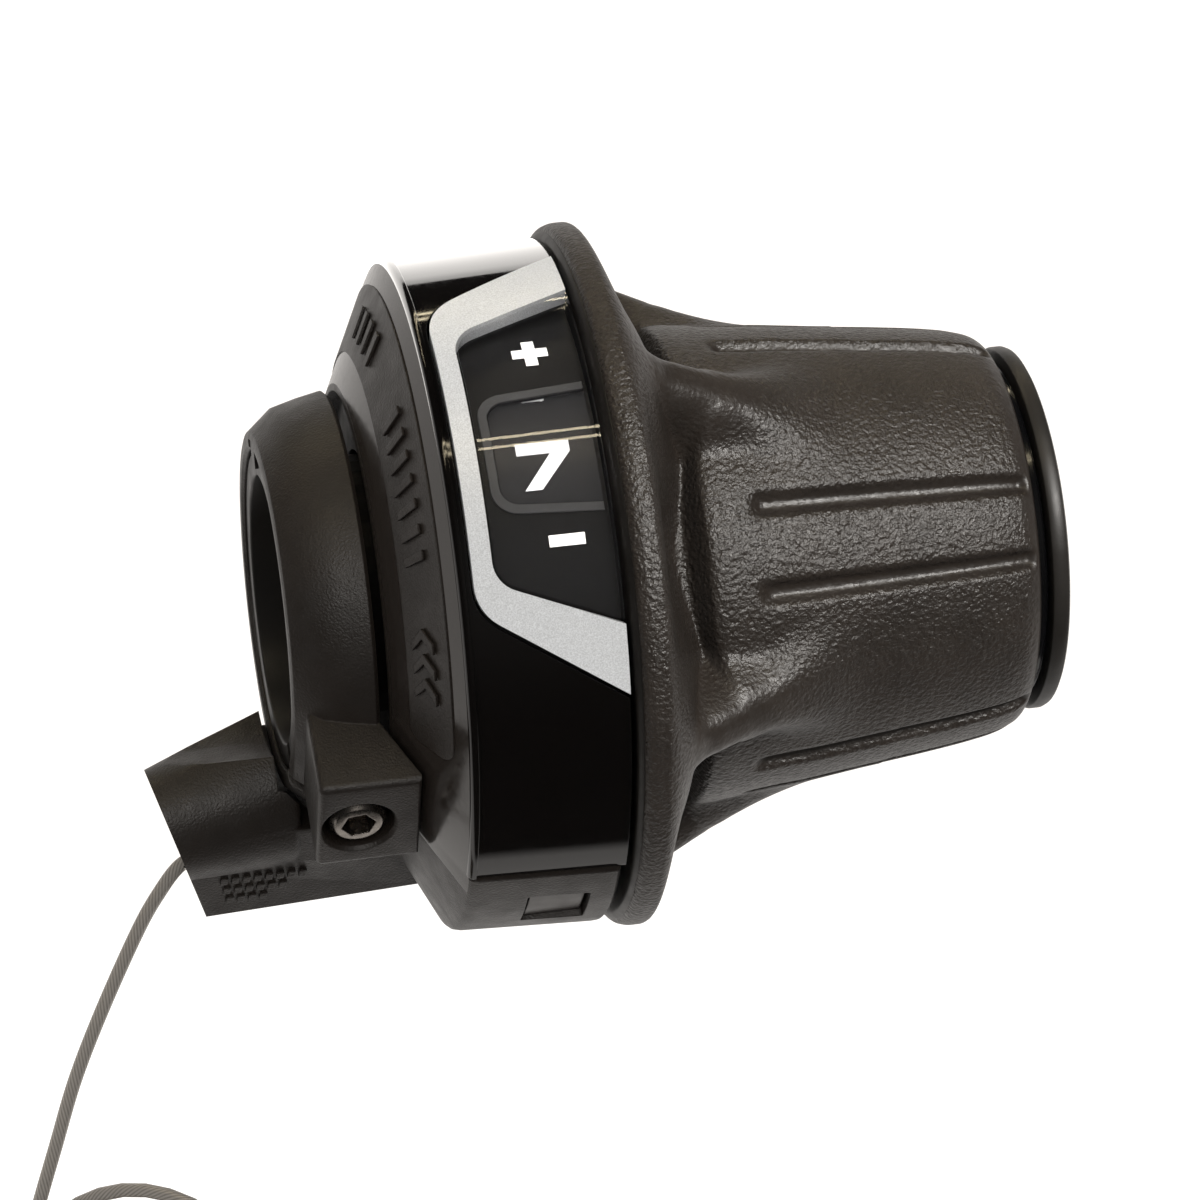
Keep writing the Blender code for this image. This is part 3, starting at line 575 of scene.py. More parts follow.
RING = moulded("ring_grey", (0.009, 0.009, 0.010), 0.5, 0.2, 0.004, 0.0)
PRINT = moulded("white_print", (0.88, 0.87, 0.83), 0.5, 0.2, 0.003, 0.0)
NYLON = moulded("white_nylon", (0.70, 0.69, 0.63), 0.45, 0.3, 0.006, 0.12)
STEEL = steel("bright_steel", (0.56, 0.54, 0.51), 0.28)
BLACK_STEEL = steel("black_steel", (0.30, 0.275, 0.25), 0.27)


# ---- camera, lights, floor ----------------------------------------------
LENS_MM, SENSOR_MM = 165.0, 36.0
CAMERA_PLACE = (-48.28, -453.88, -2.24)
CAMERA_RIGHT = (0.98010, -0.16471, -0.11077)
CAMERA_UP = (0.10924, -0.01836, 0.99385)
CAMERA_AHEAD = (0.16573, 0.98617, 0.0)
FLOOR_R, FLOOR_GAP = 1.2, 0.1  # m, and mm below the coil
FLOOR_GLOW = 0.35
SKY_COLOUR, SKY_SEEN = (1.0, 0.96, 0.92), 1.2
FILL, FILL_RISE = 0.92, 0.10  # light on matt surfaces at the horizon, and its rise
BACKDROP, DARK_ROOM = 0.85, 0.02  # what a gloss surface mirrors: walls behind, room in front
GLOW, GLOW_POWER = 0.10, 8.0  # soft glow round the viewer's side of that room
WALL_TOP, WALL_FOOT = 0.84, -0.2  # slopes where the mirrored walls end
WALL_EDGE = 12.0  # sharpness of that end
MIDDLE = (0.03, 0.0, 0.0)  # m, where every lamp points
SHEEN_SIZE = (0.42, 0.17)
SHEENS = (
    ("sheen_rubber", (0.30, -0.67, 0.19), 9.0,
     ("rubber_sleeve", "disc", "direction_marks", "digits")),
    ("sheen_plastic", (-0.06, -0.72, 0.13), 1.9,
     ("clamp_body", "housing_shell", "cone_band", "cone_marks", "plate_marks", "clamp_bolt",
      "latch")),
)
CARD_PARTS = ("cover_shell", "cover_bevel", "window_lens")
TUBE_ELEVATIONS = (45.0, 48.2, 101.4, 104.6)
TUBE_DISTANCE, TUBE_SIZE, TUBE_POWER = 0.7, (1.0, 0.011), 0.55
TUBE_COLOUR = (1.0, 0.86, 0.6)


def build_camera():
    data = bpy.data.cameras.new("camera")
    data.sensor_width = SENSOR_MM
    data.lens = LENS_MM
    data.clip_start = 0.02
    data.clip_end = 20.0
    cam = bpy.data.objects.new("camera", data)
    bpy.context.scene.collection.objects.link(cam)
    axes = (Vector(CAMERA_RIGHT), Vector(CAMERA_UP), -Vector(CAMERA_AHEAD))
    m = Matrix(axes).transposed().to_4x4()
    m.translation = metres(*CAMERA_PLACE)
    cam.matrix_world = m
    bpy.context.scene.camera = cam


def build_floor():
    """A pale floor just under the coil, left out of the reflections."""
    bm = bmesh.new()
    z = cad_box[0][2] - FLOOR_GAP * MM
    rim = []
    for i in range(64):
        t = 2.0 * math.pi * i / 64
        rim.append(bm.verts.new((FLOOR_R * math.cos(t), FLOOR_R * math.sin(t), z)))
    bm.faces.new(rim)
    s = Shader("studio_floor", (0.86, 0.86, 0.86), 0.8)
    s.colour(s.noise(60.0, 2.0), (0.85, 0.85, 0.85), (0.88, 0.88, 0.88))
    s.bsdf.inputs["Emission Color"].default_value = (1.0, 1.0, 1.0, 1.0)
    s.bsdf.inputs["Emission Strength"].default_value = FLOOR_GLOW
    s.bsdf.inputs["Specular IOR Level"].default_value = 0.0
    path = s.node("ShaderNodeLightPath")
    through = s.node("ShaderNodeBsdfTransparent")
    s.surface(s.mix(path.outputs["Is Glossy Ray"], s.bsdf.outputs[0], through.outputs[0]))
    mesh_object(bm, "floor", s.mat)


def build_world():
    """White sky seen directly; a dark room in front and lit walls behind for reflections."""
    world = bpy.data.worlds.new("studio")
    bpy.context.scene.world = world
    world.use_nodes = True
    tree = world.node_tree
    tree.nodes.clear()

    def math_node(operation, a, b=None, clamp=False):
        n = tree.nodes.new("ShaderNodeMath")
        n.operation = operation
        n.use_clamp = clamp
        for socket, value in zip(n.inputs, (a, b)):
            if isinstance(value, (int, float)):
                socket.default_value = value
            elif value is not None:
                tree.links.new(value, socket)
        return n.outputs[0]

    coords = tree.nodes.new("ShaderNodeTexCoord")
    split = tree.nodes.new("ShaderNodeSeparateXYZ")
    tree.links.new(coords.outputs["Generated"], split.inputs[0])
    y = split.outputs["Y"]
    z = split.outputs["Z"]
    above = math_node("MULTIPLY", math_node("MAXIMUM", z, 0.0), WALL_TOP)
    below = math_node("MULTIPLY", math_node("MINIMUM", z, 0.0), WALL_FOOT)
    behind = math_node("SUBTRACT", y, math_node("ADD", above, below))
    lit = math_node("MULTIPLY", behind, WALL_EDGE, True)
    front = math_node("MAXIMUM", math_node("MULTIPLY", y, -1.0), 0.0)
    glow = math_node("MULTIPLY", math_node("POWER", front, GLOW_POWER), GLOW)
    reflect = math_node("ADD", math_node("MULTIPLY", lit, BACKDROP), DARK_ROOM)
    reflect = math_node("ADD", reflect, glow)
    soft = math_node("ADD", math_node("MULTIPLY", z, FILL_RISE), FILL)
    path = tree.nodes.new("ShaderNodeLightPath")
    strength = tree.nodes.new("ShaderNodeMix")
    tree.links.new(path.outputs["Is Glossy Ray"], strength.inputs[0])
    tree.links.new(soft, strength.inputs[2])
    tree.links.new(reflect, strength.inputs[3])
    shown = tree.nodes.new("ShaderNodeMix")
    tree.links.new(path.outputs["Is Camera Ray"], shown.inputs[0])
    tree.links.new(strength.outputs[0], shown.inputs[2])
    shown.inputs[3].default_value = SKY_SEEN
    background = tree.nodes.new("ShaderNodeBackground")
    background.inputs["Color"].default_value = (*SKY_COLOUR, 1.0)
    tree.links.new(shown.outputs[0], background.inputs["Strength"])
    out = tree.nodes.new("ShaderNodeOutputWorld")
    tree.links.new(background.outputs[0], out.inputs["Surface"])


def area_light(name, place, size, power, colour=(1.0, 0.97, 0.93), mirrored=False):
    """A lamp that only matt surfaces see or, when mirrored, only glossy ones."""
    data = bpy.data.lights.new(name, "AREA")
    data.shape = "RECTANGLE"
    data.size, data.size_y = size
    data.energy = power
    data.color = colour
    ob = bpy.data.objects.new(name, data)
    ob.location = place
    ob.rotation_euler = (Vector(MIDDLE) - Vector(place)).to_track_quat("-Z", "Y").to_euler()
    ob.visible_camera = False
    ob.visible_glossy = mirrored
    ob.visible_diffuse = not mirrored
    bpy.context.scene.collection.objects.link(ob)
    return ob


def only_for(light, names):
    """The light falls on these pieces alone."""
    group = bpy.data.collections.new(light.name + "_parts")
    for name in names:
        group.objects.link(bpy.data.objects[name])
    light.light_linking.receiver_collection = group


def build_lights():
    for name, place, power, parts in SHEENS:
        sheen = area_light(name, place, SHEEN_SIZE, power)
        sheen.visible_glossy = True
        only_for(sheen, parts)
    card = area_light("card", (0.03, 0.9, 0.45), (1.6, 1.0), 13.0, mirrored=True)
    only_for(card, CARD_PARTS)
    area_light("overhead", (0.05, -0.15, 0.75), (0.5, 0.35), 1.6)
    area_light("left_front", (-0.6, -0.7, 0.35), (0.25, 0.35), 1.0)
    for i, elevation in enumerate(TUBE_ELEVATIONS):
        a = math.radians(elevation)
        place = (0.0, -TUBE_DISTANCE * math.cos(a), TUBE_DISTANCE * math.sin(a))
        area_light("tube_%d" % i, place, TUBE_SIZE, TUBE_POWER, TUBE_COLOUR, True)


# ---- the free wire ------------------------------------------------------
WIRE_LENGTH = 2.05  # m
FREE_ROUTE = [  # from inside the boss down to the coil
    (-7.7, 8.8, -20.0), (-8.9, 9.2, -20.75), (-10.3, 9.7, -22.3), (-12.5, 10.0, -25.3),
    (-16.2, 10.5, -31.6), (-19.2, 11.0, -37.4), (-21.5, 11.5, -43.0), (-23.2, 12.0, -47.2),
    (-24.4, 12.7, -50.4)]
COIL_CENTRE = Vector((-15.2, 10.5, -61.4))
COIL_R, COIL_YAW = 8.6, -35.0
BUNDLE_R = 3.8  # of the turns' bundle
COIL_ROWS, ROW_HALF = 7, 4  # rows of turns, and turns each side of their middle
ROW_RISE = 0.866  # height of a row of touching circles
TIE_HALF, TIE_GAP = 1.3, 0.65
# the first turns lie loose on the bundle: (angle, mm outwards) and (angle, mm sideways)
LOOSE_OUT = [(136, 4.85), (145, 4.35), (155, 3.95), (166, 3.8), (180, 3.75), (270, 3.75),
             (305, 3.95), (340, 4.4), (375, 5.0), (410, 5.55), (450, 5.75), (485, 5.4),
             (520, 4.5), (555, 3.2), (590, 2.3), (610, 1.9)]
LOOSE_SIDE = [(136, -3.4), (150, -3.2), (180, -3.05), (270, -2.8), (340, -2.3), (410, -1.9),
              (450, -1.8), (485, -2.0), (520, -2.4), (555, -2.9), (610, -3.15)]
PER_TURN = 40  # points in a turn
LAY_ROUND, LAY_ALONG = 1.9, 0.33  # how often the strands' pattern repeats


def catmull(knots, steps):
    """Smooth curve through the knots, with steps points from each to the next."""
    pts = [Vector(k) for k in knots]
    pts = [pts[0] * 2 - pts[1]] + pts + [pts[-1] * 2 - pts[-2]]
    out = []
    for i in range(1, len(pts) - 2):
        a, b, c, d = pts[i - 1:i + 3]
        for s in range(steps):
            t = s / steps
            out.append((b * 2 + (c - a) * t + (a * 2 - b * 5 + c * 4 - d) * t * t
                        + (b * 3 - a - c * 3 + d) * t ** 3) * 0.5)
    out.append(pts[-2])
    return out


def coil_slots():
    """Places of the turns across the coil, row by row, next to each other."""
    slots = []
    pitch = 2.0 * CABLE_R * 1.01
    for k in range(COIL_ROWS):
        h = (k - (COIL_ROWS - 1) / 2) * pitch * ROW_RISE
        row = []
        for j in range(-ROW_HALF, ROW_HALF + 1):
            rho = (j + 0.5 * (k % 2)) * pitch
            if math.hypot(rho, h) < BUNDLE_R:
                row.append((rho, h))
        row.sort(reverse=k % 2 == 0)
        slots += row
    return slots


def wire_route():
    """The whole centre line: the seen run, then every turn of the coil."""
    route = catmull(FREE_ROUTE, 16)
    slots = coil_slots()
    turn = Matrix.Rotation(math.radians(COIL_YAW), 3, "Z")
    step = 360.0 / PER_TURN
    points = []
    angle = LOOSE_OUT[0][0]
    length = sum((q - p).length for p, q in zip(route[:-1], route[1:]))
    while angle < LOOSE_OUT[-1][0]:
        out = smooth_curve(LOOSE_OUT, angle)
        points.append((angle, out, smooth_curve(LOOSE_SIDE, angle)))
        angle += step
        length += math.radians(step) * (COIL_R + out)
    turned_by = 0.0
    while length < WIRE_LENGTH / MM:
        whole = int(turned_by // 360.0)
        a0 = slots[min(whole, len(slots) - 1)]
        a1 = slots[min(whole + 1, len(slots) - 1)]
        t = fade(turned_by / 360.0 - whole, 0.72, 1.0)
        points.append((angle, a0[0] + (a1[0] - a0[0]) * t, a0[1] + (a1[1] - a0[1]) * t))
        turned_by += step
        angle += step
        length += math.radians(step) * (COIL_R + a0[0])
    for a, r_off, h_off in points:
        r = COIL_R + r_off
        t = math.radians(a)
        route.append(COIL_CENTRE + turn @ Vector((r * math.cos(t), h_off, r * math.sin(t))))
    return [p * MM for p in route]


def tube(points, name, mat, radius, sides=10):
    """Round tube along points, with coordinates for the strands' lay."""
    bm = bmesh.new()
    uv = bm.loops.layers.uv.new("lay")
    last = len(points) - 1
    side = None
    loops = []
    along = [0.0]
    for i in range(len(points)):
        ahead = points[min(i + 1, last)]
        behind = points[max(i - 1, 0)]
        tangent = (ahead - behind).normalized()
        if side is None:
            side = tangent.orthogonal().normalized()
        side = (side - tangent * side.dot(tangent)).normalized()
        other = tangent.cross(side)
        loop = []
        for j in range(sides):
            t = 2.0 * math.pi * j / sides
            out = side * math.cos(t) + other * math.sin(t)
            loop.append(bm.verts.new(points[i] + out * radius * MM))
        loops.append(loop)
        if i:
            along.append(along[-1] + (points[i] - points[i - 1]).length / MM)
    for i in range(last):
        for j in range(sides):
            k = (j + 1) % sides
            f = bm.faces.new((loops[i][j], loops[i][k], loops[i + 1][k], loops[i + 1][j]))
            corners = ((j, i), (j + 1, i), (j + 1, i + 1), (j, i + 1))
            for loop, (cj, ci) in zip(f.loops, corners):
                loop[uv].uv = (cj / sides * LAY_ROUND, along[ci] * LAY_ALONG)
    cap_ends(bm, loops)
    return mesh_object(bm, name, mat, 60.0)


def build_wire():
    route = wire_route()
    ob = place_piece(tube(route, "wire", WIRE, CABLE_R), "housing", "wire_steel",
                     "shift_cable", "cable_coil")
    tie = coil_tie()


def coil_tie():
    """A flat band that holds the turns together at the foot of the coil."""
    turn = Matrix.Rotation(math.radians(COIL_YAW), 3, "Z")
    bm = bmesh.new()
    rows = []
    steps = 28
    band = BUNDLE_R + TIE_GAP
    for side in (-TIE_HALF, TIE_HALF):
        row = []
        for j in range(steps):
            t = 2.0 * math.pi * j / steps
            p = Vector((side, band * math.sin(t), -COIL_R - band * math.cos(t)))
            row.append(bm.verts.new((COIL_CENTRE + turn @ p) * MM))
        rows.append(row)
    skin(bm, *rows)
    ob = mesh_object(bm, "coil_tie", DARK, 60.0)
    mod = ob.modifiers.new("Thick", "SOLIDIFY")
    mod.thickness = 0.0002
    return place_piece(ob, "housing", "dark_plastic")


# ---- clamp --------------------------------------------------------------
def lug_directions():
    """Unit vectors out along the clamp screw and across the lug."""
    a = math.radians(LUG_ANGLE)
    out = Vector((0.0, -math.cos(a), math.sin(a)))
    across = Vector((0.0, math.sin(a), math.cos(a)))
    return out, across


def screw_point(distance):
    """Point on the clamp screw's axis, distance mm from the bar's axis."""
    out, across = lug_directions()
    return Vector((4.1 * MM, 0, 0)) - across * 0.4 * MM + out * distance * MM


def build_clamp():
    section = [(0.25, 13.4), (0.0, 13.65), (0.0, 14.5), (0.12, 14.85), (2.2, 16.6), (4.4, 17.2),
               (6.35, 17.6), (CLAMP_LEN, 17.3), (CLAMP_LEN, 13.4)]
    ob = mesh_object(lathe(section, 160), "clamp_body", HOUSING)
    out, across = lug_directions()
    low = [(0.9, 5.0), (0.9, -5.2), (5.6, -5.2), (5.7, 5.0)]
    high = [(0.7, 5.0), (0.7, -5.2), (9.4, -5.2), (9.35, 5.0)]
    a, b = [[metres(x, 0, 0) + (across * t + out * height) * MM for x, t in face]
            for face, height in ((low, 14.6), (high, 22.9))]
    lug = prism(a, b)
    outer = [e for e in lug.edges if all(v.co.dot(out) > 0.020 for v in e.verts)]
    side = [e for e in lug.edges if all(v.co.x < 0.0012 for v in e.verts)]
    bmesh.ops.bevel(lug, geom=list(set(outer + side)), offset=0.0006, segments=5, profile=0.5,
                    affect="EDGES")
    add(ob, lug)
    cut(ob, turned(screw_point(19.6), screw_point(24.0), [(0, 2.95), (2.95, 2.95), (4.2, 3.7)], 64))
    cut(ob, turned(screw_point(12.0), screw_point(20.2), [(0, 2.75), (8.2, 2.75)], 48))
    slot = [(-1.0, 12.0), (-1.0, 20.0), (8.0, 20.0), (8.0, 12.0)]
    cut(ob, lathe(slot, 4, -78.5, -70.0))
    cut(ob, lathe([(-0.5, 12.5), (-0.5, 14.25), (1.5, 14.25), (1.5, 12.5)], 6, 74.0, 86.0))
    tidy(ob)
    place_piece(ob, "housing", "housing_plastic", "clamp_ring")
    build_clamp_screw()


def build_clamp_screw():
    profile = [(0.0, 1.9), (0.5, 2.35), (7.2, 2.35), (7.65, 1.95), (7.72, 1.7)]
    ob = mesh_object(turned(screw_point(14.95), screw_point(22.8), profile, 64), "clamp_bolt",
                     BLACK_STEEL)
    cut(ob, turned(screw_point(20.6), screw_point(24.0), [(0, 1.44), (3.4, 1.44)], 6))
    tidy(ob, 25.0)
    place_piece(ob, "housing", "black_steel", "clamp_screw")


def build_collar():
    section = rounded([(0.35, BAR_BORE_R), (0.35, 13.1), (6.6, 13.1), (6.6, BAR_BORE_R)],
                      (0.2, 0.2, 0, 0), 4)
    ob = mesh_object(lathe(section, 150, -74.0, 278.0), "collar", DARK)
    add(ob, lathe([(0.1, 12.0), (0.1, 14.1), (1.15, 14.1), (1.15, 12.0)], 6, 75.5, 84.5))
    tidy(ob)
    place_piece(ob, "housing", "dark_plastic", "bar_collar")


# ---- housing ------------------------------------------------------------
def build_housing():
    (x0, r0), (x1, r1) = CONE
    section = [(8.6, 12.5), (8.6, 17.2), (7.4, 17.5), (x0, r0), (x0 + 2.4, r0 + 5.05), (x1, r1),
               (12.55, 28.12), (13.1, 28.25), (23.9, 28.75), (24.4, 28.72), (WALL_X1, 28.4),
               (WALL_X1, 27.2), (14.0, 26.9), (13.2, 26.2), (9.9, 18.8), (9.9, 12.5)]
    ob = mesh_object(lathe(section, 180), "housing_shell", HOUSING)
    sector = [(x1, 26.5), (x1, 31.0), (26.0, 31.0), (26.0, 26.5)]
    cut(ob, lathe(sector, 90, COVER_LOW - 0.6, COVER_HIGH + 0.6))
    add(ob, outlet_boss())
    add(ob, under_plate())
    clearance = [(-20.0, 4.0), (-20.0, 12.2), (-0.6, 12.2), (-0.6, 15.0), (0.0, 15.2), (2.1, 17.35),
                 (7.1, 18.45), (7.1, 17.0), (8.6, 17.0), (8.6, 4.0)]
    cut(ob, lathe(clearance, 160))
    cut(ob, outlet_cutter())
    window = rounded([(17.3, -64.0), (22.5, -64.0), (22.5, -76.6), (17.3, -76.6)],
                     (0.4, 0.4, 0.4, 0.4), 4)
    cut(ob, bent_block(window, 26.0, 31.0))
    inside = [(9.95, 11.0), (9.95, 18.7), (13.25, 26.1), (26.0, 26.1), (26.0, 11.0)]
    cut(ob, lathe(inside, 120))
    add(ob, lathe([(14.5, 26.15), (14.5, 27.6), (23.5, 27.6), (23.5, 26.15)], 2, 125.6, 129.5))
    cut(ob, turned(metres(*CABLE_EXIT) + OUTLET_NORMAL * 0.004, metres(*CABLE_EXIT),
                   [(0, 1.0), (9.0, 1.0)], 24))
    tidy(ob)
    polish_cone(ob)
    place_piece(ob, "housing", "housing_plastic", "main_housing")
    for part in (cone_band(), cone_marks(), plate_marks()):
        place_piece(part, "housing", "housing_plastic")


def polish_cone(ob):
    """The cone face under the grained band is left glossy."""
    mesh = ob.data
    mesh.materials.append(CONE_GLOSS)
    cone = Cone()
    for poly in mesh.polygons:
        c = poly.center
        deg = math.degrees(math.atan2(c.z, -c.y))
        if poly.normal.dot(cone.normal(c)) > 0.995 and not -150.0 < deg < -62.0:
            poly.material_index = 1


def bent_block(outline, r_in, r_out):
    """Block round the bar over an outline of (x, degrees)."""
    a = [around(x, r_in, deg) for x, deg in outline]
    b = [around(x, r_out, deg) for x, deg in outline]
    bm = prism(a, b)
    bmesh.ops.triangulate(bm, faces=list(bm.faces))
    return bm


def outlet_boss():
    """Tapered boss that the cable leaves through."""
    loops = []
    for x, y, z, r in ((-14.5, 3.8, -17.6, 4.2), (1.2, 7.5, -14.5, 7.1)):
        loops.append([metres(x, y - r * math.cos(t), z + r * math.sin(t))
                      for t in (2.0 * math.pi * i / 72 for i in range(72))])
    bm = prism(*loops)
    rim = [e for e in bm.edges if all(v.co.x > 0.001 for v in e.verts)]
    bmesh.ops.bevel(bm, geom=rim, offset=0.0007, segments=4, profile=0.5, affect="EDGES")
    return bm


def under_plate():
    """Slanting plate below the boss."""
    left = [(1.5, -18.5), (10.6, -25.45), (15.5, -24.6), (17.0, -15.0), (9.0, -12.5)]
    right = [(1.5, -18.5), (9.4, -24.4), (15.5, -23.6), (17.0, -15.0), (9.0, -12.5)]
    bm = prism([metres(-14.5, y, z) for y, z in left], [metres(12.8, y, z) for y, z in right])
    bmesh.ops.triangulate(bm, faces=list(bm.faces))
    return bm


def outlet_cutter():
    """Block beyond the plane where the boss ends."""
    u = OUTLET_NORMAL.orthogonal().normalized() * 40
    v = OUTLET_NORMAL.cross(u)
    near = [OUTLET_POINT + u * su + v * sv for su, sv in ((-1, -1), (1, -1), (1, 1), (-1, 1))]
    far = [corner + OUTLET_NORMAL * 30 for corner in near]
    return prism([p * MM for p in near], [p * MM for p in far])


BAND_R0, BAND_R1 = 20.6, 25.9
BAND_LOW, BAND_HIGH = -33.0, 128.0
BAND_SCALE = arc_mm(23.0)


def cone_band():
    """Raised band round the cone face."""
    low, high = BAND_LOW * BAND_SCALE, BAND_HIGH * BAND_SCALE
    corners = [(BAND_R0, low), (BAND_R1, low), (BAND_R1, high), (BAND_R0, high)]
    outline = rounded(corners, (1.2, 1.6, 1.6, 1.2))
    return patch("cone_band", HOUSING, [outline], BAND_SCALE, Cone(), -0.1, 0.28, 0.14)


def cone_marks():
    """Plain raised bars and chevrons on the band."""
    loops = []
    for i in range(7):
        s = (37.0 - i * 5.0) * BAND_SCALE
        loops.append([(21.9, s), (24.3, s + 0.25), (24.3, s - 0.5), (21.9, s - 0.75)])
    for deg in (-10.0, -15.0, -20.0):
        s = deg * BAND_SCALE
        loops.append([(21.8, s), (23.1, s + 1.1), (24.4, s), (24.4, s - 0.8), (23.1, s + 0.3),
                      (21.8, s - 0.8)])
    for deg in (60.0, 66.0, 72.0, 78.0):
        s = deg * BAND_SCALE
        loops.append([(21.9, s), (24.3, s + 0.5), (24.3, s - 0.4), (21.9, s - 0.9)])
    return patch("cone_marks", HOUSING, loops, BAND_SCALE, Cone(), 0.2, 0.52, 0.07)


def plate_marks():
    """Rows of small moulded dashes on the slanting underside plate."""
    down = Vector((0.0, 9.1, -6.95)).normalized()
    out = Vector((0.0, down.z, -down.y)).normalized()
    start = metres(0.0, 1.5, -18.5)
    bm = bmesh.new()
    for row in range(3):
        for k in range(8 - row * 2):
            x0 = -5.6 + k * 0.95 + row * 0.25
            t0 = 5.6 + row * 1.35
            shape = [(x0, t0), (x0 + 0.6, t0), (x0 + 0.5, t0 + 0.75), (x0 - 0.1, t0 + 0.75)]
            rows = []
            for h in (-0.1, 0.2):
                rows.append([bm.verts.new(start + metres(x, 0, 0) + (down * t + out * h) * MM)
                             for x, t in shape])
            bm.faces.new(rows[1])
            skin(bm, *rows)
    return mesh_object(bm, "plate_marks", HOUSING)


# ---- cover, bezel, window -----------------------------------------------
LENS_SCALE = arc_mm(LENS_R)
DIAL_X0, DIAL_X1 = 13.9, COVER_X1 - 0.3


# Outlines here are (x, mm of arc at LENS_R), four corners from the low left one onwards.
def bezel_outer(grow=0.0):
    top, low, left = 25.7 + grow * 1.15, -2.23 - grow * 1.2, 13.45 - grow
    wide = COVER_X1 - left
    return [(left, low), (COVER_X1, low - 0.67 * wide), (COVER_X1, top + 0.578 * wide),
            (left, top)]


def bezel_inner(shrink=0.0):
    top, low, left = 22.35 - shrink * 1.1, -0.1 + shrink * 1.1, 15.08 + shrink
    wide = COVER_X1 - left
    return [(left, low), (COVER_X1, low - 0.42 * wide), (COVER_X1, top + 0.40 * wide),
            (left, top)]


def cover_radius(x):
    return 28.12 + 0.04 * (x - COVER_X0)


COVER_SURFACE = Drum(cover_radius)


def split_corners(loop):
    """Rounded low-left run, low-right, up-right, rounded up-left run."""
    n = CORNER_STEPS + 1
    return loop[:n], loop[n], loop[n + 1], loop[n + 2:]


def build_cover():
    bite = rounded(bezel_outer(0.22), (4.2, 0, 0, 5.2))
    low_left, low_right, up_right, up_left = split_corners(bite)
    outline = [low_right] + list(reversed(low_left)) + list(reversed(up_left)) + [up_right]
    low, high = COVER_LOW * LENS_SCALE, COVER_HIGH * LENS_SCALE
    outline += [(COVER_X1, high), (COVER_X0, high), (COVER_X0, low), (COVER_X1, low)]
    ob = patch("cover_shell", GLOSS, [outline], LENS_SCALE, COVER_SURFACE, -1.3, 0.0, 0.22)
    place_piece(ob, "housing", "gloss_black", "front_cover")
    section = [(12.14, 27.5), (12.14, 27.62), (12.24, 27.86), (12.42, 28.06), (12.62, 28.14),
               (12.85, 28.15), (12.85, 27.5)]
    bevel = mesh_object(lathe(section, 120, COVER_LOW, COVER_HIGH), "cover_bevel", GLOSS, 50.0)
    place_piece(bevel, "housing", "gloss_black")
    for i, x in enumerate(COVER_SCREWS):
        a = around(x, 26.2, SCREW_ANGLE)
        b = around(x, 30.0, SCREW_ANGLE)
        profile = [(0.0, 0.95), (1.5, 0.95), (1.5, 1.8), (1.9, 1.8), (2.1, 1.6)]
        screw = mesh_object(turned(a, b, profile, 32), "cover_bolt_%d" % (i + 1), STEEL)
        cut(screw, turned(around(x, 27.8, SCREW_ANGLE), b, [(0, 0.8), (1.5, 0.8)], 6))
        tidy(screw)
        place_piece(screw, "housing", "bright_steel", "cover_screw_%d" % (i + 1))


def open_ring(outer, inner):
    """Outline of a frame that is open at the grip's side."""
    low, low_end, up_end, up = split_corners(outer)
    hole = split_corners(inner)
    return ([up_end] + up + low + [low_end, hole[1]] + list(reversed(hole[0]))
            + list(reversed(hole[3])) + [hole[2]])


def build_bezel():
    outer = rounded(bezel_outer(), (4.0, 0, 0, 5.0))
    inner = rounded(bezel_inner(), (2.6, 0, 0, 3.0))
    ob = patch("bezel_frame", SILVER, [open_ring(outer, inner)], LENS_SCALE, COVER_SURFACE,
               -1.3, 0.12, 0.1)
    place_piece(ob, "housing", "silver_trim", "indicator_bezel")


def build_window():
    """Clear lens, dial plate with its aperture, the pane's frame, the pane and the marks."""
    lens_outline = rounded(bezel_inner(0.2), (2.4, 0, 0, 2.8))
    lens = patch("window_lens", LENS, [lens_outline], LENS_SCALE, COVER_SURFACE, -0.8, 0.05, 0.15)
    place_piece(lens, "housing", "clear_lens", "indicator_lens")
    gate = rounded(aperture(), (1.6, 0, 0, 1.6))
    low_left, low_right, up_right, up_left = split_corners(gate)
    mask = [low_right] + list(reversed(low_left)) + list(reversed(up_left)) + [up_right]
    top, low = 70.0 * LENS_SCALE, -24.0 * LENS_SCALE
    mask += [(DIAL_X1, top), (DIAL_X0, top), (DIAL_X0, low), (DIAL_X1, low)]
    border = aperture(-0.75)
    border[1:3] = [(DIAL_X1, point[1]) for point in border[1:3]]
    ring = open_ring(rounded(border, (2.2, 0, 0, 2.2)), gate)
    pane = rounded(aperture(0.1), (1.5, 0, 0, 1.5))
    for name, mat, outlines, heights, slot, nodes in (
            ("dial_plate", DIAL, [mask], (-0.4, 0.0, 0.05), "dial_black", ["dial_mask"]),
            ("pane_frame", FRAME, [ring], (-0.1, 0.3, 0.2), "smoke_pane", []),
            ("pane", PANE, [pane], (-0.3, 0.0, 0.05), "smoke_pane", ["number_pane"]),
            ("direction_marks", PRINT, direction_marks(), (0.0, 0.03), "white_nylon", [])):
        ob = patch(name, mat, outlines, LENS_SCALE, Drum(MASK_R), *heights)
        place_piece(ob, "housing", slot, *nodes)


def aperture(shrink=0.0):
    """Opening of the dial plate that shows the number."""
    left = 16.7 + shrink
    return [(left, 6.5 + shrink), (DIAL_X1, 5.9 + shrink), (DIAL_X1, 16.6 - shrink),
            (left, 15.9 - shrink)]


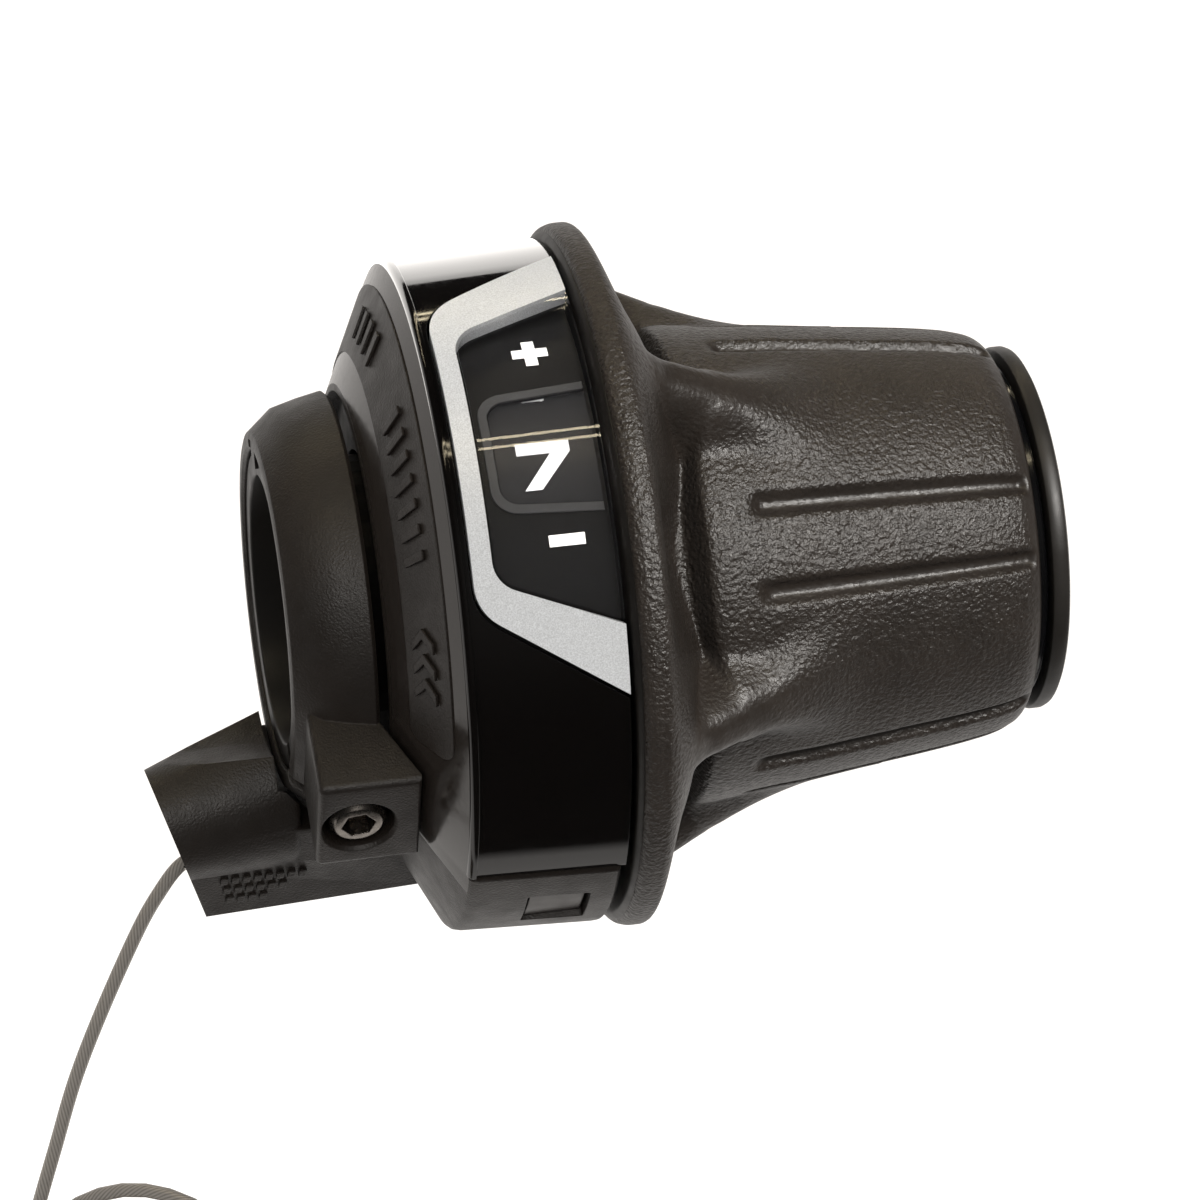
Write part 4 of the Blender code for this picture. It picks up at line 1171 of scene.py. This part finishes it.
def direction_marks():
    """Plus and minus signs."""
    half, bar = 1.45, 0.5
    arm = [(-half, -bar), (-bar, -bar), (-bar, -half)]
    quarter = [(bar, -half), (bar, -bar), (half, -bar)]
    plus = arm + quarter + [(-u, -s) for u, s in arm + quarter]
    minus = [(-half, -bar), (half, -bar), (half, bar), (-half, bar)]
    return [[(x + u, deg * LENS_SCALE + s) for u, s in shape]
            for shape, x, deg in ((plus, 21.25, 42.7), (minus, 21.5, 6.0))]


# Middle lines of the digits 1 to 6, and the outline of the 7, in mm from the digit's middle
STROKES = {
    1: [(-0.9, 1.2), (0.3, 1.9), (0.3, -2.0)],
    2: [(-1.4, 1.1), (-0.8, 1.6), (0.6, 1.6), (1.3, 1.0), (1.2, 0.3), (-1.4, -1.6), (1.5, -1.6)],
    3: [(-1.4, 1.6), (1.3, 1.6), (0.1, 0.3), (1.1, -0.1), (1.3, -0.9), (0.7, -1.6), (-0.6, -1.6),
        (-1.4, -1.1)],
    4: [(0.8, -2.0), (0.8, 1.7), (-1.5, -0.8), (1.6, -0.8)],
    5: [(1.3, 1.6), (-1.1, 1.6), (-1.2, 0.2), (0.5, 0.3), (1.3, -0.4), (1.2, -1.1), (0.5, -1.6),
        (-0.7, -1.6), (-1.4, -1.2)],
    6: [(1.1, 1.6), (-0.1, 1.5), (-1.1, 0.6), (-1.3, -0.7), (-0.6, -1.6), (0.6, -1.6),
        (1.3, -0.9), (1.1, 0.0), (0.2, 0.3), (-1.0, -0.1)],
}
SEVEN = [(-2.1, 2.0), (2.2, 2.0), (2.2, 1.05), (-0.45, -2.0), (-1.85, -2.0), (0.6, 1.0),
         (-2.1, 1.0)]
STROKE_W = 0.9
DIGIT_X = 20.7


def build_number_ring():
    section = rounded([(15.3, 25.2), (15.3, RING_R), (25.25, RING_R), (25.25, 25.2)],
                      (0.1, 0.1, 0, 0), 3)
    ob = mesh_object(lathe(section, 180), "dial_ring", RING)
    place_piece(ob, "grip", "dial_black", "number_ring")
    scale = arc_mm(RING_R)
    loops = []
    for digit in range(1, 8):
        s0 = (WINDOW_ANGLE + (7 - digit) * CLICK_ANGLE) * scale
        if digit == 7:
            loops.append([(DIGIT_X + u, s0 + s) for u, s in SEVEN])
            continue
        for quad in stroke_quads(STROKES[digit]):
            loops.append([(DIGIT_X + u, s0 + s) for u, s in quad])
    marks = patch("digits", PRINT, loops, scale, Drum(RING_R), 0.0, 0.05)
    place_piece(marks, "grip", "white_nylon")


def stroke_quads(points):
    """A bar along each piece of a digit's middle line."""
    quads = []
    for (x0, y0), (x1, y1) in zip(points[:-1], points[1:]):
        way = Vector((x1 - x0, y1 - y0)).normalized()
        n = Vector((-way.y, way.x)) * STROKE_W / 2
        a = Vector((x0, y0)) - way * STROKE_W * 0.35
        b = Vector((x1, y1)) + way * STROKE_W * 0.35
        quads.append([tuple(a + n), tuple(b + n), tuple(b - n), tuple(a - n)])
    return quads


def build_latch():
    scale = arc_mm(28.3)
    high, low = -64.7 * scale, -75.9 * scale
    outline = rounded([(17.6, high), (22.2, high), (22.2, low), (17.6, low)], (0.3,) * 4, 4)
    ob = patch("latch", SATIN, [outline], scale, Drum(27.6), -0.3, 0.6, 0.12)
    place_piece(ob, "housing", "gloss_black", "cover_latch")


# ---- grip ---------------------------------------------------------------
# (x, radius) lines of the rubber: its flange, the panels between the webs and the webs' crests
FLANGE_SHAPE = [(26.0, 28.75), (26.2, 29.1), (26.8, 29.42), (27.5, 29.5), (27.9, 29.5),
                (28.5, 29.25), (29.3, 28.6), (30.1, 27.6), (30.8, 26.3), (31.3, 24.9),
                (31.9, 23.0), (32.7, 20.4), (33.4, 18.6), (35.0, 15.5)]
BODY_SHAPE = [(30.0, 19.2), (32.0, 19.5), (33.6, 19.85), (35.0, 20.0), (37.0, 19.85), (40.5, 19.5),
              (43.0, 19.3), (46.0, 18.95), (50.0, 18.5), (54.0, 18.05), (58.0, 17.5), (60.0, 17.1),
              (61.0, 16.75), (61.6, 16.4), (61.95, 16.05), (62.1, 15.75)]
WEB_SHAPE = [(30.0, 26.9), (31.0, 26.4), (31.9, 25.7), (33.4, 24.9), (34.5, 24.3), (36.2, 23.4),
             (38.0, 22.5), (40.0, 21.5), (42.5, 20.4), (45.0, 19.4), (48.0, 18.4)]
WEB_ANGLE, WEB_PITCH = 37.0, 72.0  # of one web; between two
RUBBER_X0, RUBBER_SEGS = 26.0, 540
FINE_STEP, COARSE_STEP = 0.12, 0.33  # along the bar
GROOVE_OFFSET, GROOVE_HALF, GROOVE_DEPTH = 10.7, 0.8, 0.8
GROOVE_X0, GROOVE_X1 = 37.4, 61.9
GROOVE_R = 18.8


def web_offset(deg):
    """Degrees to the nearest web's crest and, without sign, to the nearest panel's middle."""
    off = (deg - WEB_ANGLE + WEB_PITCH / 2) % WEB_PITCH - WEB_PITCH / 2
    return off, WEB_PITCH / 2 - abs(off)


def rubber_radius(x, deg):
    """Outside of the rubber: panels, webs that run up the flange, grooves, flange."""
    off, pocket = web_offset(deg)
    body = smooth_curve(BODY_SHAPE, x)
    rim = 33.7 + 4.6 * (abs(pocket) / 34.0) ** 7
    body -= 2.0 * (1.0 - fade(x - rim, -1.5, 0.45)) * (1.0 - fade(x, 38.0, 43.0))
    if x < 50.0:
        web = smooth_curve(WEB_SHAPE, x)
        width = 8.6 + max(0.0, x - 38.0) * 0.9
        ridge = body + (web - body) * math.exp(-abs(off / width) ** 3.2)
        body = soft_max(body, ridge, 0.12)
    body -= groove(x, pocket)
    if x < 36.0:
        hollow = math.exp(-(pocket / 21.0) ** 2)
        lean = 2.5 * hollow * fade(x, 28.2, 29.9)
        blend = 0.9 * fade(x, 28.6, 31.0) + 0.01
        body = soft_max(body, smooth_curve(FLANGE_SHAPE, x + lean), blend)
    return body


def groove(x, pocket):
    """Depth of the two long finger grooves of a pocket."""
    along = fade(x, GROOVE_X0, GROOVE_X0 + 1.6) * (1.0 - fade(x, GROOVE_X1 - 1.2, GROOVE_X1))
    if along <= 0.0:
        return 0.0
    t = (pocket - GROOVE_OFFSET) * arc_mm(GROOVE_R) / GROOVE_HALF
    return GROOVE_DEPTH * along * math.exp(-abs(t) ** 3.4)


def grain_mask(x, deg):
    """1 on the grained rubber, less on the web crests, in the grooves and at the end."""
    off, pocket = web_offset(deg)
    crest = math.exp(-(off / 10.0) ** 2) * (1.0 - fade(x, 36.0, 44.0)) * fade(x, 29.0, 31.0)
    smooth_end = fade(x, 60.6, 61.6)
    return max(0.0, 1.0 - crest * 0.8 - groove(x, pocket) * 0.9 - smooth_end * 0.7)


def build_rubber():
    stations = []
    x = RUBBER_X0
    while x < GRIP_END - 0.01:
        stations.append(x)
        x += FINE_STEP if x < 34.0 or x > 60.0 else COARSE_STEP
    stations.append(GRIP_END)
    bm = bmesh.new()
    grain = bm.verts.layers.float.new("grain")
    angles = [360.0 * i / RUBBER_SEGS for i in range(RUBBER_SEGS)]
    rows = []
    for deg in angles:
        row = []
        for x in stations:
            v = bm.verts.new(around(x, rubber_radius(x, deg), deg))
            v[grain] = grain_mask(x, deg)
            row.append(v)
        row.append(bm.verts.new(around(GRIP_END, 15.6, deg)))
        rows.append(row)
    for i, row in enumerate(rows):
        skin(bm, row, rows[(i + 1) % RUBBER_SEGS], closed=False)
    first = [row[0] for row in rows]
    inner = [bm.verts.new(around(26.9, 24.6, deg)) for deg in angles]
    skin(bm, first, inner)
    ob = mesh_object(bm, "rubber_sleeve", RUBBER, 55.0)
    place_piece(ob, "grip", "grip_rubber", "rubber_grip")


def build_core():
    section = [(20.4, 23.1), (20.4, 23.9), (25.55, 23.9), (25.55, 28.2), (25.7, 28.6),
               (26.0, 28.85), (26.45, 28.9), (26.6, 28.7), (26.6, 24.3), (27.1, 24.0),
               (30.2, 16.8), (32.0, 15.3), (61.8, 15.3), (61.8, 12.4), (24.1, 12.4), (24.1, 23.1)]
    ob = mesh_object(lathe(section, 180), "core", DARK)
    place_piece(ob, "grip", "dark_plastic", "grip_core")


def build_end():
    section = [(DISC_X0, BAR_BORE_R + 0.1), (DISC_X0, 14.9), (63.32, 15.25), (63.6, DISC_R),
               (64.3, DISC_R), (64.62, 15.25), (64.78, 14.95), (DISC_X1, 14.6),
               (DISC_X1, 12.0), (64.5, BAR_BORE_R + 0.1)]
    disc = mesh_object(lathe(section, 160), "disc", DARK)
    place_piece(disc, "housing", "dark_plastic", "end_disc")
    neck = [(62.1, 12.4), (62.1, 14.2), (62.9, 14.2), (63.05, 14.3), (63.05, 12.4)]
    ring = mesh_object(lathe(neck, 144), "neck", NECK)
    place_piece(ring, "housing", "gloss_black", "thrust_washer")


def dress_cad():
    """Better materials for the CAD pieces that stay as they are."""
    looks = {"inner_sleeve": DARK, "sun_gear": NYLON, "ring_gear": NYLON, "cable_drum": NYLON,
             "detent_ring": NYLON, "detent_spring": STEEL, "pressure_shoe": STEEL,
             "cable_head": STEEL, "cable_turn": STEEL, "inner_cable": STEEL}
    for i in (1, 2, 3):
        looks["planet_gear_%d" % i] = NYLON
        looks["planet_pin_%d" % i] = STEEL
    for name, mat in looks.items():
        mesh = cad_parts[name].data
        mesh.materials.clear()
        mesh.materials.append(mat)


def main():
    bpy.context.scene.view_settings.view_transform = "Standard"
    bpy.context.scene.cycles.transparent_max_bounces = 24
    for build in (build_camera, build_wire, build_world, build_floor, build_clamp, build_collar,
                  build_housing, build_cover, build_bezel, build_window, build_number_ring,
                  build_latch, build_rubber, build_core, build_end, dress_cad, build_lights):
        build()


main()
